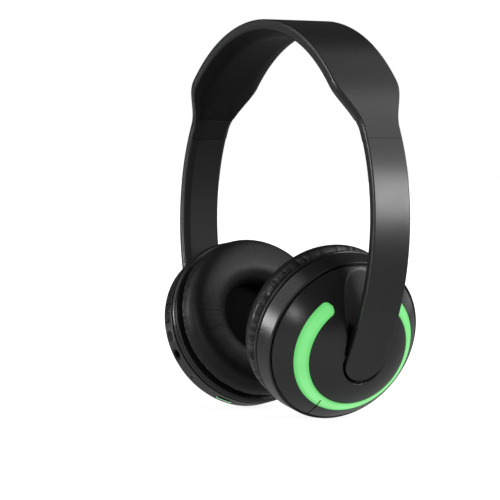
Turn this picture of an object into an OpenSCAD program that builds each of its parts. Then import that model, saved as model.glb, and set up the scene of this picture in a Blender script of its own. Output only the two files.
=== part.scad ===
// Wireless headphones: a bent headband, two sliding arms and two tilting ear cups.
// X runs from ear to ear, Y from front to back, Z up; the cups touch Z = 0.

/* [Headband] */
// Bend radius of the outer face over the crown
crown_r = 85.7; // [78:0.1:94]
// Angle from the top where the crown radius ends
crown_angle = 40; // [32:1:46]
// Bend radius of the outer face along the flanks
flank_r = 90.1; // [84:0.1:98]
// Angle from the top where the flank radius ends
flank_angle = 78; // [70:1:84]
// Width of the padded part
band_w = 33.4; // [28:0.1:40]
// Distance along the outer face from the top to where the band starts to narrow
taper_from = 70.6; // [62:0.1:74]
// Distance along the outer face from the top to where the band has narrowed
taper_to = 96.5; // [90:0.1:98]
// Distance along the outer face from the top to the end of the padding
pad_end = 90.2; // [84:0.1:93]
// Distance along the outer face from the top to the joint with the arm
seam = 101.6; // [100:0.1:106]
// Height of the headband's flat edge
band_edge = 4.2; // [3.8:0.1:5]
// Thickness of the headband from outer face to padding
band_depth = 7; // [6.6:0.1:8]
// Thickness of the outer shell
shell_t = 2; // [1.6:0.1:2.2]
// Thickness of the shell's side rims
rim_t = 1.6; // [1.2:0.1:2]
// Width of the bevel between edge and padding
band_bevel = 3.4; // [2:0.1:5]
// Width of the steel spring
spring_w = 14; // [10:0.5:16]
// Thickness of the steel spring
spring_t = 0.6; // [0.4:0.1:0.8]
// Distance from the top to each end of the steel spring
spring_end = 74; // [60:1:78]

/* [Arms] */
// Bend radius of the upper arm
cheek_r = 98.7; // [92:0.1:106]
// Bend radius of the lower arm
arm_r = 101.1; // [95:0.1:108]
// Distance along the outer face from the top to where the arm runs straight
straight_from = 194; // [190:0.5:196]
// Distance along the outer face from the top to the arm's tip
arm_tip = 216.3; // [214:0.1:218]
// Width of the arm
arm_w = 18.6; // [17.6:0.1:20]
// Height of the arm's flat edge
arm_edge = 3.2; // [3:0.1:3.6]
// Thickness of the arm
arm_depth = 6.4; // [6.2:0.1:6.8]
// Thickness of the arm's outer wall
arm_wall = 1.6; // [1.4:0.1:1.8]
// Width of the bevel along the arm's inner face
arm_bevel = 2.4; // [1.6:0.1:2.8]
// Chamfer along the outer corners of arms and headband
corner = 0.5; // [0.3:0.1:0.7]
// Gap at the joint between headband and arm
seam_gap = 0.2; // [0.1:0.05:0.4]

/* [Slide] */
// Travel of each arm
slide_travel = 20; // [10:1:22]
// Width of the slide strip
strip_w = 9; // [7:0.5:10]
// Thickness of the slide strip
strip_t = 0.8; // [0.6:0.1:0.9]
// Length of the slide strip inside the arm
strip_len = 36; // [30:1:38]
// Depth of the slide strip below the outer face at the joint
strip_depth = 2.3; // [2.2:0.1:2.4]
// Number of detent notches in the slide strip
notches = 9; // [5:1:10]

/* [Tilt hinge] */
// Radius of the hinge pin
pin_r = 1.2; // [1:0.1:1.3]
// Length of the hinge pin
pin_len = 25; // [24:0.5:26]
// Distance along the outer face from the top to the hinge pin
pin_at = 205.5; // [204:0.1:207]
// Depth of the hinge pin below the arm's outer face
pin_depth = 4.2; // [4.1:0.1:4.4]
// Height of the hinge pin above the cup's outer seam
pin_out = 16.9; // [16.4:0.1:17.4]
// Radius of the hinge knuckle's barrel
knuckle_r = 2.6; // [2.3:0.1:2.8]
// Width of the hinge knuckle
knuckle_w = 10; // [8:0.5:11]
// Running clearance of the hinge pin in the knuckle
pin_gap = 0.1; // [0.05:0.05:0.2]
// Angle between the cup's axis and the horizontal
cup_tilt = 19.4; // [15:0.1:22]
// Gap around the arm's end in its recess
recess_gap = 0.8; // [0.6:0.1:1.2]

/* [Ear cup] */
// Radius of the rim at the outer seam
rim_r = 38; // [37.6:0.1:40]
// Flare of the rim towards the cushion
rim_flare = 1.1; // [0.5:0.1:1.6]
// Width of the rim band
rim_w = 9.1; // [8.8:0.1:10]
// Wall of the rim band
rim_wall = 2; // [1.6:0.1:2.2]
// Gap between the dome's edge and the rim's outer corner
dome_inset = 0.7; // [0.5:0.1:1]
// Height of the dome
dome_h = 20; // [19.5:0.1:21]
// Radius of the flat middle of the dome
dome_flat = 3.8; // [2:0.1:6]
// Fullness of the dome's curve
dome_power = 2.33; // [2.1:0.01:2.5]
// Wall of the dome
dome_wall = 2.2; // [2:0.1:2.6]
// Inner radius of the light ring
ring_in = 24.8; // [24:0.1:25.4]
// Outer radius of the light ring
ring_out = 30; // [29:0.1:31]
// Thickness of the light ring
ring_t = 1.2; // [0.8:0.1:1.4]
// Angle between the top of the cup and each end of the light ring
ring_open = 38; // [36:1:60]
// Number of light guides under the ring
guides = 7; // [3:1:9]

/* [Cushion] */
// Distance that the cushion stands out past the rim
pad_over = 0.7; // [0.2:0.1:1.5]
// Smallest radius of the cushion's opening
pad_in = 19.2; // [17:0.1:21]
// Height of the cushion's crown above its widest line
pad_crown = 9.5; // [7:0.1:12]
// Distance from the clip ring to the cushion's widest line
pad_root = 4.3; // [3.5:0.1:5]
// Thickness of the clip ring
clip_t = 3.8; // [3.4:0.1:4.4]
// Width of the groove between the rim and the clip ring
clip_groove = 0.7; // [0.4:0.1:1]

/* [Screws] */
// Radius of a screw's head
screw_head_r = 1.8; // [1.6:0.1:2]
// Height of a screw's head
screw_head_h = 0.9; // [0.7:0.1:1]
// Radius of a screw's shank
screw_r = 0.85; // [0.7:0.05:0.88]
// Radius of a screw's clear hole
screw_hole_r = 1.1; // [0.95:0.05:1.2]
// Radius of a screw's pilot hole
pilot_r = 0.9; // [0.89:0.01:1]
// Length of the cup screws
cup_screw_len = 9; // [7:0.5:10]

/* [Driver] */
// Radius of the loudspeaker's frame
driver_r = 20; // [16:0.5:21]
// Height of the loudspeaker's frame
driver_h = 6; // [5:0.1:6.4]
// Radius of the magnet
magnet_r = 10; // [8:0.5:12]
// Height of the magnet
magnet_h = 5; // [3:0.5:5]
// Thickness of the baffle plate
baffle_t = 1.6; // [1.2:0.1:2]

/* [Controls] */
// Angle from the top of the cup to the first button
button_at = 69.5; // [66:0.5:72]
// Angle between buttons, and from the last one to the audio socket
button_step = 13.5; // [12.5:0.1:15]
// Radius of a button's cap
button_r = 2.5; // [2.1:0.1:2.7]
// Travel of a button
button_travel = 0.5; // [0.3:0.05:0.5]
// Distance from the rim's outer seam to the middle of the controls
control_in = 4.5; // [4.4:0.05:4.7]
// Radius of the audio socket's bore
jack_r = 1.8; // [1.75:0.01:1.9]
// Depth of the audio socket's bore
jack_len = 12; // [10:0.5:13]
// Angle from the top of the cup to the charging socket
usb_at = 157.5; // [156:0.5:160]
// Width of the charging socket
usb_w = 7.5; // [7:0.1:8.2]
// Height of the charging socket
usb_h = 2.7; // [2.4:0.1:3]
// Angle from the top of the cup to the microphone
mic_at = 129; // [126:0.5:132]
// Radius of the microphone
mic_r = 2; // [1.5:0.1:2.2]

/* [Electronics] */
// Width of the battery
battery_w = 34; // [24:1:36]
// Length of the battery
battery_len = 23; // [16:1:24]
// Thickness of the battery
battery_t = 3.9; // [3:0.1:3.9]
// Side of a button's switch
switch_w = 4.4; // [3.5:0.1:4.6]
// Thickness of a button's switch
switch_t = 1.2; // [0.8:0.1:1.4]
// Thickness of the circuit boards
board_t = 1; // [0.8:0.1:1.2]

/* [Hidden] */

fine = 96;
medium = 48;
soft = 64;
small = 24;
eps = 0.01;
band_step = 4.6;
degrees = 180 / PI;

// Outer face of headband and arms: arcs of falling curvature, then a straight run
crown_end = crown_r * crown_angle / degrees;
flank_end = crown_end + flank_r * (flank_angle - crown_angle) / degrees;
cheek_end = flank_end + cheek_r * (90 - flank_angle) / degrees;
end_angle = 90 + (straight_from - cheek_end) / arm_r * degrees;

function lean(s) =
    s < crown_end ? s / crown_r * degrees
    : s < flank_end ? crown_angle + (s - crown_end) / flank_r * degrees
    : s < cheek_end ? flank_angle + (s - flank_end) / cheek_r * degrees
    : min(90 + (s - cheek_end) / arm_r * degrees, end_angle);

// Centre of each arc, measured from the top of the band
function step_in(r1, r2, a) = (r1 - r2) * [sin(a), cos(a)];
crown_c = [0, -crown_r];
flank_c = crown_c + step_in(crown_r, flank_r, crown_angle);
cheek_c = flank_c + step_in(flank_r, cheek_r, flank_angle);
arm_c = cheek_c + step_in(cheek_r, arm_r, 90);

function arc_point(c, r, a) = c + r * [sin(a), cos(a)];
function face_point(s) =
    s < crown_end ? arc_point(crown_c, crown_r, lean(s))
    : s < flank_end ? arc_point(flank_c, flank_r, lean(s))
    : s < cheek_end ? arc_point(cheek_c, cheek_r, lean(s))
    : arc_point(arm_c, arm_r, lean(s)) + max(s - straight_from, 0) * [cos(end_angle), -sin(end_angle)];

// Point at depth d below the outer face; distances on the left side are negative
function deep_point(s, d) =
    let (p = face_point(abs(s)) - d * [sin(lean(abs(s))), cos(lean(abs(s)))])
    [sign(s + eps / 2) * p[0], p[1]];

// Placing of the cups: the hinge pin carries each cup
pin_point = deep_point(pin_at, pin_depth);
cup_point = pin_point - pin_out * [cos(cup_tilt), -sin(cup_tilt)];
rim_edge = 0.4;
rim_back_r = rim_r + rim_flare;
pad_out = rim_back_r + pad_over;
top_z = rim_r * cos(cup_tilt) - rim_edge * sin(cup_tilt) - cup_point[1];

function smooth(t) = let (u = min(max(t, 0), 1)) u * u * (3 - 2 * u);
function half_w(s) =
    arm_w / 2 + (band_w - arm_w) / 2 * (1 - smooth((abs(s) - taper_from) / (taper_to - taper_from)));
tip_r = arm_w / 2;
function tip_half(s) =
    s < arm_tip - tip_r ? tip_r : sqrt(max(tip_r ^ 2 - (s - arm_tip + tip_r) ^ 2, 0.04));

// Evenly spaced stations along a sweep, none further apart than the step
function stations(from, to, step) =
    let (n = ceil((to - from) / step)) [for (i = [0:n]) from + (to - from) * i / n];
function tip_stations(from) = [for (i = [0:9]) from + (arm_tip - from) * sin(i * 10) / sin(90)];

// Solid swept along the outer face; section(s) lists [across, depth] points
module sweep(at, section) {
    rings = [for (s = at) [for (q = section(s)) let (p = deep_point(s, q[1])) [p[0], q[0], top_z + p[1]]]];
    m = len(rings[0]);
    n = len(rings);
    sides = [for (i = [0:n - 2], j = [0:m - 1])
        let (a = i * m + j, b = i * m + (j + 1) % m)
        each [[a, b + m, a + m], [a, b, b + m]]];
    caps = [[for (j = [m - 1:-1:0]) j], [for (j = [0:m - 1]) (n - 1) * m + j]];
    polyhedron([for (r = rings) each r], concat(sides, caps), convexity = 6);
}

// Places children on the outer face: X along it and down, Y back, Z outwards
module on_face(s, d) {
    p = deep_point(s, d);
    translate([p[0], 0, top_z + p[1]]) rotate([0, lean(abs(s)), 0]) children();
}

// Places children at the hinge pin, along the arm
module on_pin() {
    on_face(pin_at, pin_depth) children();
}

// Places children in the right cup: Z along its axis and out, X down, Y back
module on_cup() {
    translate([cup_point[0], 0, top_z + cup_point[1]]) rotate([0, 90 + cup_tilt, 0]) children();
}

// Places children on a ray of the cup, at an angle from the top towards the front, X outwards
module on_ray(a, z) {
    on_cup() rotate([0, 0, 180 + a]) translate([0, 0, z]) children();
}

module left() {
    mirror([1, 0, 0]) children();
}

// ---- Headband ----

pilot_wall = 0.7;
cover_screw_at = pad_end - 6;

// Channel: outer plate with side rims, open towards the padding
function channel(h, edge, plate, rim) = [
    [-h + corner, 0], [h - corner, 0], [h, corner], [h, edge], [h - rim, edge], [h - rim, plate],
    [rim - h, plate], [rim - h, edge], [-h, edge], [-h, corner]];

module headband_shell() {
    end = seam - seam_gap / 2;
    color([0.13, 0.13, 0.14])
    difference() {
        sweep(stations(-end, end, band_step), function(s) channel(half_w(s), band_edge, shell_t, rim_t));
        cover_screw_hole();
        left() cover_screw_hole();
    }
}

spring_gap = 0.1;
module headband_spring() {
    color([0.6, 0.6, 0.62])
    sweep(stations(-spring_end, spring_end, band_step), function(s)
        let (h = spring_w / 2, d = shell_t + spring_gap) [[-h, d], [h, d], [h, d + spring_t], [-h, d + spring_t]]);
}

// The padding's tail is thinner, to leave room for the end cover's tab and screw
pad_gap = 0.3;
pad_bulge = 0.8;
pad_thin_from = cover_screw_at - screw_head_r - 2;
function pad_floor(s) = abs(s) < pad_thin_from ? shell_t + spring_gap + spring_t + pad_gap : band_edge;
function pad_section(s) =
    let (h = half_w(s) - 0.1, g = half_w(s) - rim_t - pad_gap, f = pad_floor(s), lip = band_edge + pad_gap)
    let (w = h - band_bevel, full = smooth((pad_end - abs(s)) / 4), d = band_depth - (1 - full) * 0.6)
    [[-g, f], [g, f], [g, lip], [h, lip + 0.1], [h - 0.3, lip + 0.5],
    for (i = [0:6]) let (t = 1 - i / 3) [w * t, d + pad_bulge * full * (1 - t * t)],
    [0.3 - h, lip + 0.5], [-h, lip + 0.1], [-g, lip]];

module headband_pad() {
    end = pad_end - seam_gap / 2;
    color([0.08, 0.08, 0.08])
    sweep(stations(-end, end, band_step), function(s) pad_section(s));
}

// Cover of the headband's end: it hides the slide strip's anchor, and its tab screws down under the padding
tab_w = 10;
tab_len = 5;
tab_t = 1;
tab_depth = shell_t + 0.1;
lid_depth = strip_depth + strip_t + pad_gap;
module end_cover() {
    from = pad_end + seam_gap / 2;
    to = seam - seam_gap / 2;
    inner = band_edge + 0.05;
    riser_to = pad_end + 0.4;
    riser_at = (cover_screw_at + screw_head_r + 0.3 + riser_to) / 2;
    riser = riser_to - riser_at;
    color([0.13, 0.13, 0.14])
    difference() {
        union() {
            sweep(stations(from, to, 3), function(s)
                let (h = half_w(s), b = h - band_bevel + 0.6)
                [[-h, inner], [h, inner], [b, band_depth - 0.5], [-b, band_depth - 0.5]]);
            on_face(cover_screw_at, tab_depth + tab_t) translate([-2.2, -tab_w / 2, 0]) cube([tab_len, tab_w, tab_t]);
            on_face(riser_at, band_edge - pad_gap) translate([-riser, -tab_w / 2, 0])
                cube([2 * riser, tab_w, band_edge - pad_gap - tab_depth]);
            on_face((from + to) / 2, inner + 0.5) translate([(from - to) / 2 + 0.2, -tab_w / 2, 0])
                cube([to - from - 2, tab_w, inner + 0.5 - lid_depth]);
        }
        on_face(cover_screw_at, tab_depth + tab_t + 1) cylinder(h = tab_t + 2, r = screw_hole_r, $fn = small);
    }
}

module headband_screws() {
    color([0.55, 0.55, 0.57]) {
        cover_screw();
        left() cover_screw();
    }
}

module cover_screw() {
    head = tab_depth + tab_t;
    on_face(cover_screw_at, head + screw_head_h) {
        cylinder(h = screw_head_h, r = screw_head_r, $fn = small);
        cylinder(h = head + screw_head_h - pilot_wall - 0.1, r = screw_r, $fn = small);
    }
}

module cover_screw_hole() {
    on_face(cover_screw_at, shell_t + 1) cylinder(h = shell_t + 1 - pilot_wall, r = pilot_r, $fn = small);
}

// ---- Slide ----

strip_start = deep_point(seam, strip_depth);
strip_stop = deep_point(seam + strip_len, strip_depth);
strip_lean = atan2(strip_start[1] - strip_stop[1], strip_stop[0] - strip_start[0]);
anchor_len = seam - pad_end - 1;
anchor_start = deep_point(seam - anchor_len, strip_depth);
anchor_lean = atan2(anchor_start[1] - strip_start[1], strip_start[0] - anchor_start[0]);

module on_strip(a) {
    translate([strip_start[0], 0, top_z + strip_start[1]]) rotate([0, a, 0]) children();
}

module slide_strip() {
    pitch = slide_travel / (notches - 1);
    color([0.62, 0.62, 0.64]) {
        difference() {
            on_strip(strip_lean) translate([-0.4, -strip_w / 2, -strip_t]) cube([strip_len, strip_w, strip_t]);
            for (i = [0:notches - 1])
                on_strip(strip_lean) translate([detent_at + i * pitch, strip_w / 2, -strip_t - 1])
                    cylinder(h = strip_t + 2, r = notch_r, $fn = small);
        }
        on_strip(anchor_lean) translate([-anchor_len, -strip_w / 2, -strip_t])
            cube([anchor_len, strip_w, strip_t]);
    }
}

// Leaf that clicks into the strip's notches; it stands beside the strip inside the arm
notch_r = 0.7;
detent_at = 7;
leaf_t = 0.5;
module detent_spring() {
    gap = 0.15;
    y0 = strip_w / 2 + gap;
    color([0.72, 0.72, 0.74])
    on_strip(strip_lean) {
        translate([detent_at - 5, y0 + 0.5, -strip_t - 0.3]) cube([10, leaf_t, strip_t + 0.6]);
        translate([detent_at, y0 + 0.55, -strip_t - 0.3]) cylinder(h = strip_t + 0.6, r = 0.55, $fn = small);
    }
}

// ---- Arms ----

cover_floor = arm_depth - 1.3;
cavity_w = 6;
cavity_end = pin_at;
arm_top = seam + seam_gap / 2;
arm_head_depth = arm_depth - 0.2;
boss_r = 2.4;
tongue_t = 1.5;
tongue_gap = 0.1;

// Each screw through the arm: distance from the top of the band, and depth of the boss under its head.
// The lower boss bears on the knuckle's tongue.
arm_screw_at = [[165, arm_edge + 0.05], [pin_at - 7.5, arm_edge + tongue_gap + tongue_t + 0.05]];

// Solid bar with the arm's outline between two depths; its sides lean in by the bevel
module arm_bar(d1, d2, chamfer, bevel) {
    sweep(concat(stations(arm_top, arm_tip - tip_r, 5), tip_stations(arm_tip - tip_r)), function(s)
        let (h = tip_half(s), c = min(chamfer, h / 2), b = min(bevel, h / 2))
        [[c - h, d1], [h - c, d1], [h, d1 + c], [h - b, d2], [b - h, d2], [-h, d1 + c]]);
}

// Room inside the arm between two depths
module arm_room(half, d1, d2) {
    sweep(stations(arm_top - 1, cavity_end, 5), function(s) [[-half, d1], [half, d1], [half, d2], [-half, d2]]);
}

module arm_shell() {
    color([0.13, 0.13, 0.14])
    difference() {
        union() {
            difference() {
                arm_bar(0, arm_edge, corner, 0);
                arm_room(tip_r - rim_t, arm_wall, arm_edge + 1);
            }
            for (m = arm_screw_at) on_face(m[0], arm_edge)
                cylinder(h = arm_edge - arm_wall + 0.2, r = boss_r, $fn = small);
        }
        for (m = arm_screw_at) on_face(m[0], arm_edge + 1)
            cylinder(h = arm_edge - arm_wall + 1, r = pilot_r, $fn = small);
        knuckle_room();
    }
}

module arm_cover() {
    color([0.12, 0.12, 0.13])
    difference() {
        union() {
            difference() {
                arm_bar(arm_edge, arm_depth, 0.02, arm_bevel);
                arm_room(cavity_w, arm_edge - 1, cover_floor);
            }
            for (m = arm_screw_at) on_face(m[0], cover_floor + 0.3)
                cylinder(h = cover_floor + 0.3 - m[1], r = boss_r, $fn = small);
        }
        for (m = arm_screw_at) {
            on_face(m[0], arm_depth + 1) cylinder(h = arm_depth + 1 - arm_head_depth + screw_head_h,
                r = screw_head_r + 0.2, $fn = small);
            on_face(m[0], arm_depth + 1) cylinder(h = arm_depth, r = screw_hole_r, $fn = small);
        }
        knuckle_room();
    }
}

knuckle_room_gap = 0.15;
module knuckle_room() {
    along_pin(knuckle_w + 2 * knuckle_room_gap, knuckle_r + knuckle_room_gap);
    along_pin(arm_w + 2, pin_r + 0.2);
}

// Cylinder round the hinge axis
module along_pin(length, r) {
    on_pin() rotate([90, 0, 0]) cylinder(h = length, r = r, center = true, $fn = medium);
}

// Hinge knuckle: barrel on a tongue that is screwed inside the arm
module arm_knuckle() {
    screw_back = pin_at - arm_screw_at[1][0];
    tongue = screw_back + 3;
    top = pin_depth - arm_edge - tongue_gap;
    color([0.3, 0.3, 0.31])
    difference() {
        union() {
            along_pin(knuckle_w, knuckle_r);
            on_pin() translate([-tongue, 0.4 - cavity_w, top - tongue_t]) cube([tongue, 2 * cavity_w - 0.8, tongue_t]);
        }
        along_pin(knuckle_w + 2, pin_r + pin_gap);
        on_pin() translate([-screw_back, 0, -5]) cylinder(h = 10, r = screw_hole_r, $fn = small);
    }
}

module arm_screws() {
    color([0.55, 0.55, 0.57])
    for (m = arm_screw_at) on_face(m[0], arm_head_depth) {
        cylinder(h = screw_head_h, r = screw_head_r, $fn = small);
        cylinder(h = arm_head_depth - arm_wall - 0.2, r = screw_r, $fn = small);
    }
}

// ---- Ear cups, in the right cup's frame ----

dome_r = rim_r - dome_inset;
function dome_z(r) = dome_h * (1 - pow(max(r - dome_flat, 0) / (dome_r - dome_flat), dome_power));

// Profile points of the dome lowered by d, from radius r1 in to radius r2
function dome_line(r1, r2, d, n) = [for (i = [0:n]) let (r = r1 + (r2 - r1) * i / n) [r, dome_z(r) - d]];

module dome_form(d) {
    r = dome_r - d;
    rotate_extrude($fn = fine)
    polygon(concat([[0, 0]], [for (i = [0:20]) let (q = 1 - i / 20)
        [r * q, (dome_h - d) * (dome_z(dome_r * q) / dome_h)]]));
}

// Open ring seen along the cup's axis, with round ends
module ring_plan(grow) {
    a = ring_open + ring_w / 2 / ring_mid * degrees;
    rotate([0, 0, 180 + a]) rotate_extrude(angle = 360 - 2 * a, $fn = fine)
        translate([ring_in - grow, -1]) square([ring_w + 2 * grow, dome_h + 2]);
    for (b = [a, -a]) rotate([0, 0, 180 + b]) translate([ring_mid, 0, -1])
        cylinder(h = dome_h + 2, r = ring_w / 2 + grow, $fn = medium);
}

ring_w = ring_out - ring_in;
ring_mid = (ring_in + ring_out) / 2;
guide_at = ring_in + 1.6;
guide_r = 1.1;
function guide_angle(i) = 60 + i * 240 / (guides - 1);

// Layer that follows the dome between two depths
module dome_layer(d1, d2) {
    rotate_extrude($fn = fine)
    polygon(concat(dome_line(ring_out + 2, ring_in - 2, d1, 8), dome_line(ring_in - 2, ring_out + 2, d2, 8)));
}

module light_ring() {
    color([0.45, 0.92, 0.5])
    on_cup() {
        intersection() {
            dome_layer(ring_t, 0);
            ring_plan(0);
        }
        for (i = [0:guides - 1]) rotate([0, 0, 180 + guide_angle(i)]) translate([guide_at, 0, led_top + 0.2])
            cylinder(h = dome_z(guide_at) - led_top - 0.4 - ring_t / 2, r = guide_r, $fn = small);
    }
}

led_board_z = 4.5;
led_h = 1;
led_top = led_board_z + board_t + led_h;
board_in = 19.5;
board_out = 26.8;
board_post_at = 21.8;
board_posts = [80, 160, 200, 280];
screw_ring = rim_r - 8.9;
screw_angles = [45, 135, 225, 315];
post_r = 2.2;

module led_board() {
    color([0.1, 0.35, 0.2])
    on_cup() {
        rotate([0, 0, 180 + 48]) rotate_extrude(angle = 264, $fn = fine)
            translate([board_in, led_board_z]) square([board_out - board_in, board_t]);
        for (i = [0:guides - 1]) rotate([0, 0, 180 + guide_angle(i)])
            translate([guide_at - 1, -1, led_board_z + board_t - eps]) cube([2, 2, led_h + eps]);
    }
}

// Recess for the arm's end, cut along the arm, and the valley that leads the arm into it
recess_w = tip_r + recess_gap;
recess_floor = 4.4;
module arm_recess() {
    on_pin() translate([arm_tip - pin_at - tip_r + 0.3, 0, -recess_floor]) {
        cylinder(h = 30, r = recess_w, $fn = fine);
        translate([-60, -recess_w, 0]) cube([60, 2 * recess_w, 30]);
    }
}

valley_r = 24;
module arm_valley() {
    low = [36, 1.5];
    high = [12, 15];
    slope = atan2(high[1] - low[1], low[0] - high[0]);
    on_cup() translate([-low[0], 0, low[1]]) rotate([0, 90 - slope, 0])
        translate([-valley_r, 0, -20]) cylinder(h = 60, r = valley_r, $fn = fine);
}

// Solid round the recess, inside the dome
block_w = 14.4;
module recess_block() {
    rotate([90, 0, 0]) linear_extrude(2 * block_w, center = true)
        polygon([[14.6, 8.3], [-10, 8.3], [-27, 5.8], [-36, 0.3], [-36, dome_h], [14.6, dome_h]]);
}

module dome() {
    color([0.14, 0.14, 0.15])
    difference() {
        on_cup() union() {
            difference() {
                dome_form(0);
                translate([0, 0, -eps]) dome_form(dome_wall);
            }
            intersection() {
                dome_form(0);
                recess_block();
            }
            for (a = screw_angles) intersection() {
                rotate([0, 0, 180 + a]) translate([screw_ring, 0, 2 - rim_w])
                    cylinder(h = 30, r = post_r, $fn = small);
                union() {
                    dome_form(1);
                    translate([0, 0, -rim_w]) cylinder(h = rim_w + 1, r = dome_r - dome_wall - 0.5, $fn = fine);
                }
            }
            for (a = board_posts) intersection() {
                rotate([0, 0, 180 + a]) translate([board_post_at, 0, led_board_z + board_t])
                    cylinder(h = 30, r = 1.4, $fn = small);
                dome_form(1);
            }
            translate([0, 0, -0.9]) rotate_extrude($fn = fine)
                translate([rim_r - rim_wall - 2, 0]) square([1.9, 1]);
        }
        on_cup() intersection() {
            dome_layer(ring_t, -2);
            ring_plan(0.12);
        }
        on_cup() for (i = [0:guides - 1]) rotate([0, 0, 180 + guide_angle(i)]) translate([guide_at, 0, led_top])
            cylinder(h = 20, r = guide_r + 0.1, $fn = small);
        on_cup() for (a = screw_angles) rotate([0, 0, 180 + a]) translate([screw_ring, 0, 1 - rim_w])
            cylinder(h = cup_screw_len, r = pilot_r, $fn = small);
        arm_recess();
        arm_valley();
        along_pin(pin_len + 0.2, pin_r + 0.02);
    }
}

module hinge_pin() {
    color([0.7, 0.7, 0.72])
    along_pin(pin_len, pin_r);
}

rim_in = rim_r - rim_wall;
function rim_at(z) = rim_r + (rim_back_r - rim_r) * -z / rim_w;
ledge_in = rim_in - 2;
ledge_z = 1.5 - rim_w;

module rim_body() {
    rotate_extrude($fn = fine)
    polygon([[rim_in, 0], [rim_r - rim_edge, 0], [rim_r, -rim_edge],
        [rim_back_r, 0.3 - rim_w], [rim_back_r - 0.3, -rim_w],
        [ledge_in, -rim_w], [ledge_in, ledge_z], [rim_in, ledge_z]]);
    for (a = screw_angles) rotate([0, 0, 180 + a]) difference() {
        intersection() {
            translate([screw_ring - post_r, -4, -rim_w]) cube([rim_in - screw_ring + post_r + 0.5, 8, 1.8]);
            translate([0, 0, -rim_w]) cylinder(h = 3, r = rim_in + 0.5, $fn = fine);
        }
        translate([screw_ring, 0, -rim_w - 1]) cylinder(h = 4, r = screw_hole_r, $fn = small);
    }
}

module rim_right() {
    color([0.2, 0.2, 0.21])
    on_cup() rim_body();
}

// The left rim also carries the buttons, sockets and microphone
carrier_r = 31;
carrier_from = button_at - 10;
carrier_to = button_at + 2 * button_step + 7;
usb_z = -control_in + 0.2;
usb_floor = usb_z - usb_h / 2 - 0.8;
frame_t = 0.45;
function button_angle(i) = button_at + i * button_step;
jack_at = button_angle(3);

module rim_left() {
    color([0.2, 0.2, 0.21])
    left() on_cup() difference() {
        union() {
            rim_body();
            rotate([0, 0, 180 + carrier_from]) rotate_extrude(angle = carrier_to - carrier_from, $fn = fine) {
                translate([carrier_r, ledge_z]) square([1, -ledge_z - 1.5]);
                translate([carrier_r, -rim_w]) square([ledge_in - carrier_r + 1, 1.5]);
            }
            rotate([0, 0, 180 + usb_at]) intersection() {
                translate([30, -6, -rim_w]) cube([9, 12, usb_floor + rim_w]);
                translate([0, 0, -rim_w]) cylinder(h = rim_w, r = rim_in + 0.5, $fn = fine);
            }
        }
        for (i = [0:2]) rotate([0, 0, 180 + button_angle(i)]) translate([rim_in - 1, 0, -control_in])
            rotate([0, 90, 0]) cylinder(h = 9, r = button_r + 0.15, $fn = medium);
        rotate([0, 0, 180 + jack_at]) translate([rim_in - 3, 0, -control_in])
            rotate([0, 90, 0]) cylinder(h = 9, r = jack_nose_r + 0.05, $fn = medium);
        rotate([0, 0, 180 + mic_at]) translate([rim_in - 3, 0, -control_in])
            rotate([0, 90, 0]) cylinder(h = 9, r = 0.6, $fn = small);
        rotate([0, 0, 180 + usb_at]) translate([rim_in - 3, 0, usb_z]) slot_plan(usb_w + 1, usb_h + 1, 9);
    }
}

// Rounded slot that runs outwards along X
module slot_plan(w, h, length) {
    r = h / 2;
    for (y = [r - w / 2, w / 2 - r]) translate([0, y, 0]) rotate([0, 90, 0]) cylinder(h = length, r = r, $fn = small);
    translate([0, r - w / 2, -r]) cube([length, w - h, h]);
}

baffle_z = -rim_w - 0.05;
baffle_r = ledge_in + 0.6;
module baffle() {
    color([0.17, 0.17, 0.18])
    on_cup() difference() {
        translate([0, 0, baffle_z - baffle_t]) cylinder(h = baffle_t, r = baffle_r, $fn = fine);
        for (k = [1:2], i = [0:6 * k - 1]) rotate([0, 0, i * 60 / k]) translate([k * 5.5, 0, baffle_z - baffle_t - 1])
            cylinder(h = baffle_t + 2, r = 1.4, $fn = small);
        for (a = screw_angles) rotate([0, 0, 180 + a]) translate([screw_ring, 0, baffle_z - baffle_t - 1])
            cylinder(h = baffle_t + 2, r = screw_hole_r, $fn = small);
    }
}

module driver_frame() {
    wall = 1.2;
    z0 = baffle_z + 0.02;
    color([0.25, 0.25, 0.26])
    on_cup() rotate_extrude($fn = fine)
    polygon([[driver_r, z0], [driver_r, z0 + 2.2], [magnet_r + 1.5, z0 + driver_h - wall], [magnet_r + 1.5, z0 + driver_h],
        [magnet_r + 0.05, z0 + driver_h], [magnet_r + 0.05, z0 + driver_h - wall - 1], [driver_r - 2.5, z0 + 1.4],
        [driver_r - 2.5, z0]]);
}

module magnet() {
    color([0.5, 0.5, 0.52])
    on_cup() translate([0, 0, baffle_z + driver_h - magnet_h + 1.5]) cylinder(h = magnet_h, r = magnet_r, $fn = fine);
}

module diaphragm() {
    t = 0.4;
    edge = driver_r - 2.6;
    z0 = baffle_z + 0.2;
    color([0.75, 0.7, 0.55])
    on_cup() rotate_extrude($fn = fine)
    polygon([[0, z0 + 0.8], [6, z0 + 0.3], [12, z0 + 1], [edge, z0 + 0.4],
        [edge, z0 + 0.4 + t], [12, z0 + 1 + t], [6, z0 + 0.3 + t], [0, z0 + 0.8 + t]]);
}

clip_in = ledge_in - 3;
cloth_t = 0.5;
module acoustic_cloth() {
    color([0.05, 0.05, 0.05])
    on_cup() translate([0, 0, baffle_z - baffle_t - 0.05 - cloth_t]) difference() {
        cylinder(h = cloth_t, r = clip_in - 0.2, $fn = fine);
        for (a = screw_angles) rotate([0, 0, 180 + a]) translate([screw_ring, 0, -1])
            cylinder(h = cloth_t + 2, r = screw_head_r + 0.3, $fn = small);
    }
}

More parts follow.
